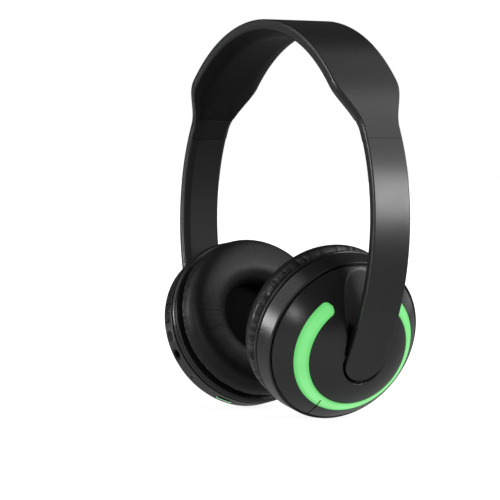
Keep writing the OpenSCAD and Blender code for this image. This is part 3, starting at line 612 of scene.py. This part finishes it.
def makeArmShell(v):
    obj = welded(strip("armShellRight", *armStations(v, v["top"] - v["spare"]), 2, -v["corner"]))
    slab(obj, v["edge"] - v["corner"] - v["lip"] - v["clear"])
    stepFaces(obj, 1, roundOver(v["corner"]))
    stepFaces(obj, -1, [(v["lip"], v["lip"])])
    half = v["rim"] / 2
    stepFaces(obj, -1, [(half, 0), (half - v["lip"], 0), (0, v["wall"] - v["edge"])], v["hollowTo"])
    cutOff(obj, (v["top"], 0, 0), (-1, 0, 0))
    openEnd(obj, v["top"] - v["slotOut"], v["top"] + v["slotIn"])
    return smoothShade(followBand(obj), 50)


def makeArmCover(v):
    obj = welded(strip("armCoverRight", *armStations(v, v["coverTop"]), 2, -v["edge"] - v["seam"]))
    slab(obj, v["straight"] - v["edge"] - v["seam"])
    stepFaces(obj, -1, [(0, v["depth"] - edgeDrop - v["clear"] - v["straight"])])
    leanIn(obj, -v["straight"] - 0.3, v["bevel"] - 0.35, v["half"], v["tip"] - v["half"])
    stepFaces(obj, -1, innerEdge)
    stepFaces(obj, 1, [(v["hollowRim"], 0), (v["hollowRim"], 0), (0, -v["hollow"])], v["hollowTo"])
    openEnd(obj, v["coverTop"] - v["slotOut"], v["coverTop"] + v["coverSlotIn"])
    return smoothShade(followBand(obj), 50)


armShellRight, armCoverRight = makeArmShell(arm), makeArmCover(arm)
armShellLeft = mirrored(armShellRight, "armShellLeft")
armCoverLeft = mirrored(armCoverRight, "armCoverLeft")
finishedPair(armShellRight, armShellLeft, "shell", "arm", "arm_shell")
finishedPair(armCoverRight, armCoverLeft, "armInner", "arm", "arm_cover")
for obj in (armCoverRight, armCoverLeft):
    dress(obj, "shell", lambda face: abs(face.normal.y) > 0.9)
    # painted shade: the leaning bevel faces take the darker end-cover tone, for the shade in the corner between
    # side and inner face
    dress(obj, "endCover", lambda face: 0.2 < abs(face.normal.y) < 0.9)
print("arms made")

dome = {"r": 37.3, "height": 20, "flat": 3.8, "power": 2.33, "wall": 2.2, "skirtOut": 2.2, "skirtZ": -3.06,
        "hollowZ": -6, "voxel": 0.5, "smooth": 6}
recess = {"tipX": 2.1, "floor": 4.4, "half": 10.1, "top": 25, "pin": (64.0594, 0, 30.0961),
          "lean": 120.4568, "valleyR": 24, "valleyLow": (36, 1.5), "valleyHigh": (12, 15)}
recessBlock = {"half": 14.4,
               "corners": [(14.6, 8.3), (14.6, 24), (-36, 24), (-36, 0.3), (-27, 5.8), (-10, 8.3)]}
rabbet = {"inner": 36.55, "outer": 39, "low": -1, "high": 1.05}
lightRing = {"mid": 27.4, "half": 2.6, "open": 43.44, "depth": 1.2, "gap": 0.12, "bed": 0.05, "sunk": 0.3,
             "corner": 0.25, "count": 110}


def domeHeight(r):
    v = dome
    return v["height"] * (1 - (np.maximum(r - v["flat"], 0) / (v["r"] - v["flat"])) ** v["power"])


def prism(name, corners, half):  # outline in the cup's xz plane, extruded across
    bpy.ops.mesh.primitive_circle_add(vertices=len(corners), radius=1, fill_type="NGON")
    obj = added(name)
    order = np.argsort(np.arctan2(getPoints(obj)[:, 1], getPoints(obj)[:, 0]))
    points = np.empty((len(corners), 3))
    points[order] = [(x, -half, z) for x, z in corners]
    setPoints(obj, points)
    openMesh(obj)
    bpy.ops.mesh.extrude_region_move(TRANSFORM_OT_translate={"value": (0, 2 * half, 0)})
    bpy.ops.mesh.select_all(action="SELECT")
    bpy.ops.mesh.normals_make_consistent(inside=False)
    return faceOut(closeMesh(obj))


def recessCutter():  # round-ended slot along the arm, which runs off the dome's top
    v = recess
    angles = np.linspace(0, math.pi / 2, 25)[1:]
    straight = [v["tipX"] - back for back in (60, 30, 0)]
    stations = np.concatenate([straight, v["tipX"] + v["half"] * np.sin(angles)])
    halves = np.concatenate([[v["half"]] * 3, v["half"] * np.cos(angles)])
    halves[-1] = 0
    obj = welded(strip("recessCutter", stations, halves, 2, v["top"]))
    slab(obj, v["top"] + v["floor"])
    hinge = Matrix.Translation(v["pin"]) @ Matrix.Rotation(math.radians(v["lean"]), 4, "Y")
    return moved(obj, cupPlace.inverted() @ hinge)


def valleyCutter():  # round trough that leads the arm into its recess
    v = recess
    low, high = v["valleyLow"], v["valleyHigh"]
    slope = math.atan2(high[1] - low[1], low[0] - high[0])
    bpy.ops.mesh.primitive_cylinder_add(vertices=192, radius=v["valleyR"], depth=90,
                                        location=(-v["valleyR"], 0, 10))
    obj = added("valleyCutter")
    bpy.ops.object.transform_apply(location=True)
    lean = Matrix.Rotation(math.pi / 2 - slope, 4, "Y")
    return moved(obj, Matrix.Translation((-low[0], 0, low[1])) @ lean)


def makeLayer(name, grow, low, high):  # flat ring strip with round ends, between two heights
    v = lightRing
    half = v["half"] + grow
    reach = math.radians(180 - v["open"]) * v["mid"]
    angles = np.linspace(0, math.pi / 2, 11)[1:]
    straight = np.linspace(-reach, reach, v["count"] + 1)
    end = reach + half * np.sin(angles)
    stations = np.concatenate([-end[::-1], straight, end])
    halves = np.concatenate([half * np.cos(angles)[::-1], np.full(v["count"] + 1, half), half * np.cos(angles)])
    halves[0] = halves[-1] = 0
    return slab(welded(strip(name, stations, halves, 4, high)), high - low)


def rememberRing(obj):  # how far a point lies from the ring's middle line, 1 at its edge
    points = getPoints(obj)
    v = lightRing
    along = np.arctan2(points[:, 1], points[:, 0]) * v["mid"]
    beyond = np.maximum(np.abs(along) - math.radians(180 - v["open"]) * v["mid"], 0)
    off = np.hypot(np.hypot(points[:, 0], points[:, 1]) - v["mid"], beyond)
    return remember(obj, "ringEdge", off / v["half"])


def onDome(obj):  # flat strip to the dome's surface, its middle at the cup's lowest point
    points = getPoints(obj)
    r = lightRing["mid"] + points[:, 1]
    a = points[:, 0] / lightRing["mid"]
    return faceOut(setPoints(obj, np.stack([r * np.cos(a), r * np.sin(a), domeHeight(r) + points[:, 2]], 1)))


def makeDome():
    v = dome
    radii = v["r"] * np.sin(np.linspace(math.pi / 2, 0, 40))
    skirt = [(0, v["skirtZ"]), (v["r"] + v["skirtOut"], v["skirtZ"])]
    obj = turned("domeRight", skirt + [(r, domeHeight(r)) for r in radii], 128)
    carve(obj, recessCutter(), valleyCutter())
    modify(obj, "REMESH", mode="VOXEL", voxel_size=v["voxel"])
    return modify(obj, "SMOOTH", factor=0.5, iterations=v["smooth"])


def hollowDome(obj):
    v = dome
    innerR = v["r"] - v["wall"]
    radii = innerR * np.sin(np.linspace(math.pi / 2, 0, 24))
    scale = (v["height"] - v["wall"]) / v["height"]
    inner = [(r, scale * domeHeight(r * v["r"] / innerR)) for r in radii]
    hollow = turned("domeHollow", [(0, v["hollowZ"]), (radii[0], v["hollowZ"])] + inner, 96)
    carve(hollow, prism("recessBlock", recessBlock["corners"], recessBlock["half"]))
    carve(obj, hollow)
    cutOff(obj, (0, 0, 0), (0, 0, -1), 0.0005)
    corners = [("inner", "low"), ("outer", "low"), ("outer", "high"), ("inner", "high"), ("inner", "low")]
    return carve(obj, turned("rabbet", [(rabbet[r], rabbet[z]) for r, z in corners], 128))


slit = {"from": (23.5, -13.2), "to": (38.4, -11.4), "width": 0.5, "deep": 1.0, "above": 1.5}


def slitCutter(v):  # thin cut where the dome's two halves meet
    (x1, y1), (x2, y2) = v["from"], v["to"]
    length = math.hypot(x2 - x1, y2 - y1)
    obj = strip("slitCutter", np.linspace(0, length, 12), [v["width"] / 2] * 12, 1, v["above"])
    slab(obj, v["above"] + v["deep"])
    moved(obj, Matrix.Translation((x1, y1, 0)) @ Matrix.Rotation(math.atan2(y2 - y1, x2 - x1), 4, "Z"))
    points = getPoints(obj)
    points[:, 2] += domeHeight(np.minimum(np.hypot(points[:, 0], points[:, 1]), dome["r"] + 0.5))
    return setPoints(obj, points)


def rememberHollow(obj):  # 1 where the surface lies well below the full dome, as in the arm's recess
    points = getPoints(obj)
    below = domeHeight(np.hypot(points[:, 0], points[:, 1])) - points[:, 2]
    return remember(obj, "hollow", np.clip(below - 0.3, 0, 1))


domeRight = hollowDome(makeDome())
carve(domeRight, onDome(makeLayer("ringGroove", lightRing["gap"], -lightRing["depth"], 2)))
carve(domeRight, slitCutter(slit))
smoothShade(seatInCup(rememberHollow(domeRight)), 40)
domeLeft = mirrored(domeRight, "domeLeft")
finishedPair(domeRight, domeLeft, "dome", "cup", "dome")
print("domes made", len(domeRight.data.polygons))

ringRight = makeLayer("lightRingRight", 0, -lightRing["depth"] + lightRing["bed"], -lightRing["sunk"])
stepFaces(ringRight, 1, roundOver(lightRing["corner"]))
carve(onDome(ringRight), slitCutter(slit))
smoothShade(seatInCup(rememberRing(ringRight)), 50)
ringLeft = mirrored(ringRight, "lightRingLeft")
finishedPair(ringRight, ringLeft, "glowingGreen", "cup", "light_ring")


def inSlit(side):  # a test for the ring's faces in the slit, which get dark plastic and no glow, as painted shade in the slit
    (x1, y1), (x2, y2) = slit["from"], slit["to"]
    turn = cupPlace.to_3x3()
    across = turn @ Vector((y1 - y2, x2 - x1, 0)).normalized()
    start = cupPlace @ Vector((x1, y1, 0))

    def test(face):
        normal, middle = face.normal.copy(), face.calc_center_median() / mm
        normal.x, middle.x = side * normal.x, side * middle.x
        return abs(normal.dot(across)) > 0.9 and abs((middle - start).dot(across)) < slit["width"]
    return test


# painted shade: the ring's faces in the slit take the dark inner plastic, so the slit reads as a dark line
dress(ringRight, "innerPlastic", inSlit(1))
dress(ringLeft, "innerPlastic", inSlit(-1))
print("light rings made")

rim = {"r": 38, "edge": 0.4, "grooveFrom": 36.55, "grooveTo": 37.15, "grooveZ": -1, "backR": 39.1,
       "width": 9.1, "inner": 36, "ledge": 34, "ledgeZ": -7.6, "soften": 0.14}


def makeRim(name, v):
    back, low = v["backR"], -v["width"]
    rings = [(v["inner"], 0), (v["grooveFrom"], 0), (v["grooveFrom"], v["grooveZ"]),
             (v["grooveTo"], v["grooveZ"]), (v["grooveTo"], -0.1), (v["grooveTo"] + 0.1, 0),
             (v["r"] - v["edge"], 0), (v["r"] - 0.12, -0.12), (v["r"], -v["edge"]),
             (back, low + 0.3), (back - 0.09, low + 0.09), (back - 0.3, low),
             (v["ledge"], low), (v["ledge"], v["ledgeZ"]), (v["inner"], v["ledgeZ"]), (v["inner"], 0)]
    return turned(name, supported(rings), 192)


controls = {"z": -4.5, "buttons": (69.5, 83.0, 96.5), "holeR": 2.68, "jack": 110.0, "jackR": 2.95,
            "mic": 129.0, "micR": 0.6, "port": 157.5, "portZ": -4.3, "portW": 8.5, "portH": 3.7,
            "from": 33, "to": 42}


def rayPlace(angle, z):  # a frame on the rim, x outwards, at an angle from the cup's top
    return Matrix.Rotation(math.radians(180 + angle), 4, "Z") @ Matrix.Translation((0, 0, z))


def rod(name, radius, start, end, vertices):  # cylinder along x
    bpy.ops.mesh.primitive_cylinder_add(vertices=vertices, radius=radius, depth=end - start,
                                        location=((start + end) / 2, 0, 0), rotation=(0, math.pi / 2, 0))
    obj = added(name)
    bpy.ops.object.transform_apply(location=True, rotation=True)
    return obj


def slotRod(name, width, height, start, end):  # the same with a wider, round-ended section
    obj = rod(name, height / 2, start, end, 32)
    points = getPoints(obj)
    points[:, 1] += np.sign(np.round(points[:, 1], 4)) * (width - height) / 2
    return setPoints(obj, points)


def rimHoles(v):
    rounds = [(angle, v["holeR"], 48) for angle in v["buttons"]]
    rounds += [(v["jack"], v["jackR"], 48), (v["mic"], v["micR"], 24)]
    holes = [moved(rod("hole", r, v["from"], v["to"], count), rayPlace(angle, v["z"]))
             for angle, r, count in rounds]
    port = slotRod("hole", v["portW"], v["portH"], v["from"], v["to"])
    return holes + [moved(port, rayPlace(v["port"], v["portZ"]))]


rimRight, rimLeft = makeRim("rimRight", rim), makeRim("rimLeft", rim)
carve(rimLeft, *rimHoles(controls))
modify(rimLeft, "BEVEL", width=rim["soften"], segments=2, limit_method="ANGLE", angle_limit=math.radians(40),
       harden_normals=False)
smoothShade(seatInCup(rimRight), 40)
smoothShade(flipped(seatInCup(rimLeft)), 40)
finishedPair(rimRight, rimLeft, "rim", "cup", "rim")

button = {"r": 2.4, "flangeR": 3.0, "flangeFrom": 35.15, "flangeTo": 35.85, "top": 38.78, "dish": 0.18}


def makeButton(name, angle, v):  # cap with a softened edge and a finger dish
    top = v["top"]
    rings = [(0, v["flangeFrom"]), (v["flangeR"], v["flangeFrom"]), (v["flangeR"], v["flangeTo"]),
             (v["r"], v["flangeTo"]), (v["r"], top - 0.22), (v["r"] - 0.06, top - 0.08), (v["r"] - 0.2, top),
             (v["r"] - 0.5, top - 0.02), (v["r"] * 0.5, top - v["dish"] * 0.8), (0, top - v["dish"])]
    obj = turned(name, rings, 40)
    moved(obj, rayPlace(angle, controls["z"]) @ Matrix.Rotation(math.pi / 2, 4, "Y"))
    return smoothShade(flipped(seatInCup(obj)), 35)


for use, angle in zip(("up", "play", "down"), controls["buttons"]):
    piece = makeButton("button" + use.title(), angle, button)
    finished(piece, "button", "button_" + use, "button_" + use)
print("buttons made")

portLight = {"wide": 8.35, "high": 3.55, "wall": 0.24, "from": 38.1, "to": 38.4, "cutAt": 0.6}


def makePortLight(v):  # thin glowing outline of the charging socket
    obj = slotRod("portLight", v["wide"], v["high"], v["from"], v["to"])
    inner = slotRod("hole", v["wide"] - 2 * v["wall"], v["high"] - 2 * v["wall"], v["from"] - 1, v["to"] + 1)
    cutOff(carve(obj, inner), (0, 0, v["cutAt"]), (0, 0, -1))
    moved(obj, rayPlace(controls["port"], controls["portZ"]))
    return smoothShade(flipped(seatInCup(obj)), 35)


finished(makePortLight(portLight), "paleGlow", "cup_left", "status_light")

clipRings = [(34.7, -9.2), (37.6, -9.2), (37.6, -10.05), (38.5, -10.05), (38.9, -10.15), (39.14, -10.4),
             (39.2, -10.75), (39.1, -11.3), (38.92, -11.9), (38.6, -12.5), (38.1, -13), (31, -13),
             (31, -10.85), (34.7, -10.85), (34.7, -9.2)]
clipRight = smoothShade(seatInCup(turned("clipRingRight", supported(clipRings), 160)), 40)
clipLeft = mirrored(clipRight, "clipRingLeft")
finishedPair(clipRight, clipLeft, "rim", "cup", "clip_ring")
print("rims and clip rings made")


def inflate(obj, held, pressure, cap):  # swells a closed mesh as filled cloth; held points stay
    frames = 20
    start = getPoints(obj)
    group = obj.vertex_groups.new(name="held")
    group.add([int(i) for i in np.flatnonzero(held)], 1, "REPLACE")
    alone(obj)
    cloth = obj.modifiers.new("Cloth", "CLOTH")
    cloth.settings.quality = 5
    cloth.settings.mass = 0.25
    cloth.settings.use_pressure = True
    cloth.settings.uniform_pressure_force = pressure
    cloth.settings.vertex_group_mass = "held"
    cloth.settings.effector_weights.gravity = 0
    cloth.point_cache.frame_start, cloth.point_cache.frame_end = 1, frames
    for step in range(1, frames + 1):
        scene.frame_set(step)
    bpy.ops.object.modifier_apply(modifier=cloth.name)
    scene.frame_set(1)
    obj.vertex_groups.clear()
    shift = getPoints(obj) - start
    size = np.maximum(np.linalg.norm(shift, axis=1, keepdims=True), 1e-9)
    return setPoints(obj, start + shift * np.minimum(1, cap / size))


cushion = {"mid": 28.6, "half": 10.2, "wideZ": -17.6, "crown": 9.6, "backHalf": 5.6, "root": 4.3,
           "pressure": 6, "cap": 0.7 * mm, "segments": 120, "seamZ": -15.6, "square": 0.95, "lip": 1,
           "seed": 3.1}
cushionFar = {**cushion, "mid": 27.0, "half": 10.5, "square": 0.72, "lip": 0.8, "seed": 8.4}  # sits less evenly


def makeCushion(name, v):
    cut = math.asin(v["root"] / v["backHalf"])
    section = []
    for a in np.linspace(0, math.pi, 21):  # the ear's side; a power below 1 is fuller than an ellipse
        power = v["square"] if a < math.pi / 2 else v["lip"]
        out = math.copysign(abs(math.cos(a)) ** power, math.cos(a))
        section.append((v["mid"] + v["half"] * out, v["wideZ"] - v["crown"] * math.sin(a) ** power))
    section += [(v["mid"] - v["half"] * math.cos(a), v["wideZ"] + v["backHalf"] * math.sin(a))
                for a in np.linspace(0, cut, 5)[1:]]
    left, right = section[-1][0], 2 * v["mid"] - section[-1][0]
    section += [(left + (right - left) * i / 6, v["wideZ"] + v["root"]) for i in range(1, 6)]
    section += [(v["mid"] + v["half"] * math.cos(a), v["wideZ"] + v["backHalf"] * math.sin(a))
                for a in np.linspace(cut, 0, 5)]
    obj = turned(name, section, v["segments"])
    setPoints(obj, getPoints(obj) * mm)
    held = getPoints(obj)[:, 2] > (v["wideZ"] + v["root"] - 0.05) * mm
    inflate(obj, held, v["pressure"], v["cap"])
    modify(obj, "SUBSURF", levels=1, render_levels=1)
    return crease(setPoints(obj, getPoints(obj) / mm), v)


def rememberSeam(obj, v):  # millimetres from the outer seam, and the place round the cushion
    points = getPoints(obj)
    r = np.hypot(points[:, 0], points[:, 1])
    seam = np.hypot(points[:, 2] - v["seamZ"], np.maximum(v["mid"] + v["half"] - r, 0))
    around = np.stack([points[:, 0] / r, points[:, 1] / r, np.zeros_like(r)], 1) * v["mid"]
    remember(obj, "seam", seam)
    return remember(obj, "around", around, "FLOAT_VECTOR", "vector")


folds = {"wide": (9, 0.9), "deep": 0.28, "sharp": 1.2, "fine": (26, 1.6), "shallow": 0.16}


def crease(obj, v):  # soft folds where the cover is gathered round the ring
    points = getPoints(obj)
    r = np.hypot(points[:, 0], points[:, 1])
    a = np.arctan2(points[:, 1], points[:, 0])
    tube = np.arctan2(points[:, 2] - v["wideZ"], r - v["mid"])
    out = np.stack([points[:, 0] / r * np.cos(tube), points[:, 1] / r * np.cos(tube), np.sin(tube)], 1)
    dent = np.empty(len(points))
    for i, (angle, ring) in enumerate(zip(a, tube)):
        x, y = math.cos(angle), math.sin(angle)
        fold, fine = (noise.noise(Vector((x * across, y * across, ring * along + v["seed"])))
                      for across, along in (folds["wide"], folds["fine"]))
        dent[i] = -folds["deep"] * max(0, fold) ** folds["sharp"] - folds["shallow"] * max(0, fine)
    side = np.clip(1.2 - np.abs(points[:, 2] - v["wideZ"] - 1) / 7, 0.25, 1)
    held = points[:, 2] > v["wideZ"] + v["root"] - 0.3
    return setPoints(obj, points + out * (dent * side * ~held)[:, None])


cushionRight = rememberSeam(makeCushion("cushionRight", cushion), cushion)
cushionLeft = rememberSeam(makeCushion("cushionLeft", cushionFar), cushionFar)
smoothShade(seatInCup(cushionRight), 180)
smoothShade(flipped(seatInCup(cushionLeft)), 180)
finishedPair(cushionRight, cushionLeft, "cushionLeather", "cup", "cushion")
print("cushions made")

bandPad = {"end": 90.1, "top": 4.24, "inset": 0.12, "lip": 0.45, "side": 3.3, "endRound": 3.0, "drop": 2.2,
           "pressure": 3, "cap": 0.8 * mm, "step": 2.3, "columns": 12}


def makeBandPad(v):
    stations = np.linspace(-v["end"], v["end"], round(2 * v["end"] / v["step"]) + 1)
    sheet = strip("headbandPad", stations, halfWidth(stations) - v["inset"], v["columns"], -v["top"])
    obj = slab(sheet, v["lip"])
    points = getPoints(obj)
    down = points[:, 2] < -v["top"] - 0.1
    edge = np.clip((halfWidth(points[:, 0]) - v["inset"] - np.abs(points[:, 1])) / v["side"], 0, 1)
    end = np.clip((v["end"] - np.abs(points[:, 0])) / v["endRound"], 0, 1)
    points[down, 2] -= (v["drop"] * np.sqrt(1 - (1 - edge) ** 2) * (0.75 + 0.25 * end))[down]
    setPoints(obj, points)
    modify(obj, "SUBSURF", levels=1, render_levels=1, subdivision_type="SIMPLE")
    setPoints(obj, getPoints(obj) * mm)
    held = getPoints(obj)[:, 2] > (-v["top"] - v["lip"] - 0.2) * mm
    inflate(obj, held, v["pressure"], v["cap"])
    setPoints(obj, getPoints(obj) / mm)
    return smoothShade(followBand(obj), 40)


headbandPad = finished(makeBandPad(bandPad), "padLeather", "headband", "headband_pad")
print("headband pad made")

nodeFinishes = {"steel": ("headband_spring", "headband_screws", "slide_strip", "arm_knuckle", "detent_spring",
                          "arm_screws", "cup_screws", "hinge_pin", "magnet"),
                "darkSteel": ("charging_socket",), "circuit": ("led_board", "main_board"),
                "cone": ("diaphragm",), "cloth": ("acoustic_cloth",), "foil": ("battery",),
                "sponge": ("microphone",), "button": ("audio_socket",),
                "innerPlastic": ("baffle", "driver_frame", "switches")}
for name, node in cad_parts.items():
    for finish, starts in nodeFinishes.items():
        if name.startswith(starts):
            for slotItem in node.material_slots:
                slotItem.material = finishes[finish]
print("inner parts dressed")

view = {"azimuth": 59.7293, "elevation": 2.0407, "roll": 0.8832, "distance": 1.58011, "lens": 242.871,
        "sensor": 36, "near": 0.05, "far": 100, "aim": (-0.03587, 0, 0.07318)}


def makeCamera(v):
    a, e, roll = (math.radians(v[key]) for key in ("azimuth", "elevation", "roll"))
    back = Vector((math.sin(a) * math.cos(e), -math.cos(a) * math.cos(e), math.sin(e)))
    right = Vector((math.cos(a), math.sin(a), 0))
    up = back.cross(right)
    right, up = right * math.cos(roll) + up * math.sin(roll), up * math.cos(roll) - right * math.sin(roll)
    bpy.ops.object.camera_add()
    camera = added("camera")
    turn = Matrix((right, up, back)).transposed().to_4x4()
    camera.matrix_world = Matrix.Translation(Vector(v["aim"]) + back * v["distance"]) @ turn
    camera.data.lens, camera.data.sensor_width = v["lens"], v["sensor"]
    camera.data.clip_start, camera.data.clip_end = v["near"], v["far"]
    scene.camera = camera


makeCamera(view)

softboxes = {  # degrees from the front round to the right, degrees up, distance, degrees wide and tall, level
    "stripRight": {"around": 119, "up": 12, "far": 1.6, "wide": 22, "tall": 18, "level": 13},
    "boxRight": {"around": 132, "up": 41, "far": 1.6, "wide": 44, "tall": 38, "level": 1.45},
    "boxRear": {"around": 176, "up": 44, "far": 1.7, "wide": 44, "tall": 34, "level": 0.7},
    "boxBehind": {"around": 195, "up": 7, "far": 1.7, "wide": 50, "tall": 12, "level": 0.6},
    "stripLeft": {"around": -37, "up": 9, "far": 1.7, "wide": 13, "tall": 13, "level": 16},
    "boxLeft": {"around": -40, "up": 38, "far": 1.8, "wide": 26, "tall": 40, "level": 1.2},
    "spotFront": {"around": 32, "up": 10, "far": 1.9, "wide": 4, "tall": 8, "level": 32},
    "boxFront": {"around": 11, "up": 26, "far": 1.9, "wide": 15, "tall": 24, "level": 3.0},
    "boxTop": {"around": 150, "up": 82, "far": 1.8, "wide": 30, "tall": 30, "level": 0.5},
}
lampAim = Vector((0, 0, 0.06))
wattsPerLevel = 3.14  # per square metre of lamp


def makeSoftbox(name, v):
    around, up = math.radians(v["around"]), math.radians(v["up"])
    to = Vector((math.sin(around) * math.cos(up), -math.cos(around) * math.cos(up), math.sin(up)))
    bpy.ops.object.light_add(type="AREA", location=to * v["far"] + lampAim)
    lamp = added(name)
    lamp.rotation_euler = to.to_track_quat("Z", "Y").to_euler()
    wide, tall = (2 * v["far"] * math.tan(math.radians(v[key] / 2)) for key in ("wide", "tall"))
    lamp.data.shape = "RECTANGLE"
    lamp.data.size, lamp.data.size_y = wide, tall
    lamp.data.energy = wattsPerLevel * v["level"] * wide * tall


for name, v in softboxes.items():
    makeSoftbox(name, v)

room = {"seen": 1.0, "shown": 0.05, "cast": 0.18}


def makeWorld(v):
    f = Finish("room", bpy.data.worlds.new("room"))
    scene.world = f.owner
    direct = f.node("LightPath", out="Is Camera Ray")
    glossy = f.node("LightPath", out="Is Glossy Ray")
    through = f.node("LightPath", out="Is Transmission Ray")
    seen = direct.larger(through)
    strength = seen * v["seen"] + (1 - seen) * (glossy * v["shown"] + (1 - glossy) * v["cast"])
    glow = f.node("Background", None, {"Color": (1, 1, 1, 1), "Strength": strength})
    f.node("OutputWorld", None, {"Surface": glow})


ground = {"size": 12, "tone": 0.36, "mottle": 0.02, "seen": 0.88, "shown": 0.08, "farGlow": 0.4,
          "pools": (((0.09, -0.13, 0), 0.3, 0.35), ((-0.29, -0.05, 0), 0.13, 0.9)),
          "feet": (("cup_left", -0.03512, 0), ("cup_left", -0.02683, 0.00175),
                   ("cup_right", 0.03512, 0), ("cup_right", 0.02683, 0.00175))}


def makeFloor(v):
    bpy.ops.mesh.primitive_plane_add(size=v["size"], location=(0, 0, 0))
    floor = added("floor")
    f = Finish("paleFloor")
    seen = f.node("LightPath", out="Is Camera Ray")
    paper = f.cloud(14, 2)
    tint = f.mix(paper, tone(v["tone"]), tone(v["tone"] + v["mottle"]))
    diffuse = f.node("BsdfDiffuse", None, {"Color": tint})
    shown = v["shown"]
    for spot, reach, level in v["pools"]:  # painted pools of light, seen only in the plastic's reflections, where the lamps would brighten the floor
        away = f.node("VectorMath", {"operation": "DISTANCE"}, {0: f.place(), 1: spot}, out=1)
        shown = f.ramp(away * (1 / reach), (0.2, 1), (0.9, 0)) * level + shown
    shown = f.node("LightPath", out="Is Glossy Ray") * shown
    away = f.node("VectorMath", {"operation": "LENGTH"}, {0: f.place()}, out=1)
    far = f.ramp(away * 1.5, (0.3, 0), (0.9, 1))
    glow = f.node("Emission", None, {"Strength": seen * (far * v["farGlow"] + v["seen"]) + shown})
    both = f.node("AddShader", None, {0: diffuse, 1: glow})
    f.node("OutputMaterial", None, {"Surface": both})
    floor.data.materials.append(f.owner)
    for body, x, z in v["feet"]:  # the floor stays under a cup that slides or tilts down
        bpy.ops.object.empty_add(location=(x, 0, z))
        foot = bpy.context.object
        foot.name = "foot"
        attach(foot, body)
        under = floor.constraints.new("FLOOR")
        under.target, under.floor_location = foot, "FLOOR_NEGATIVE_Z"


makeWorld(room)
makeFloor(ground)
scene.view_settings.view_transform = "Standard"
print("camera, light and floor made")
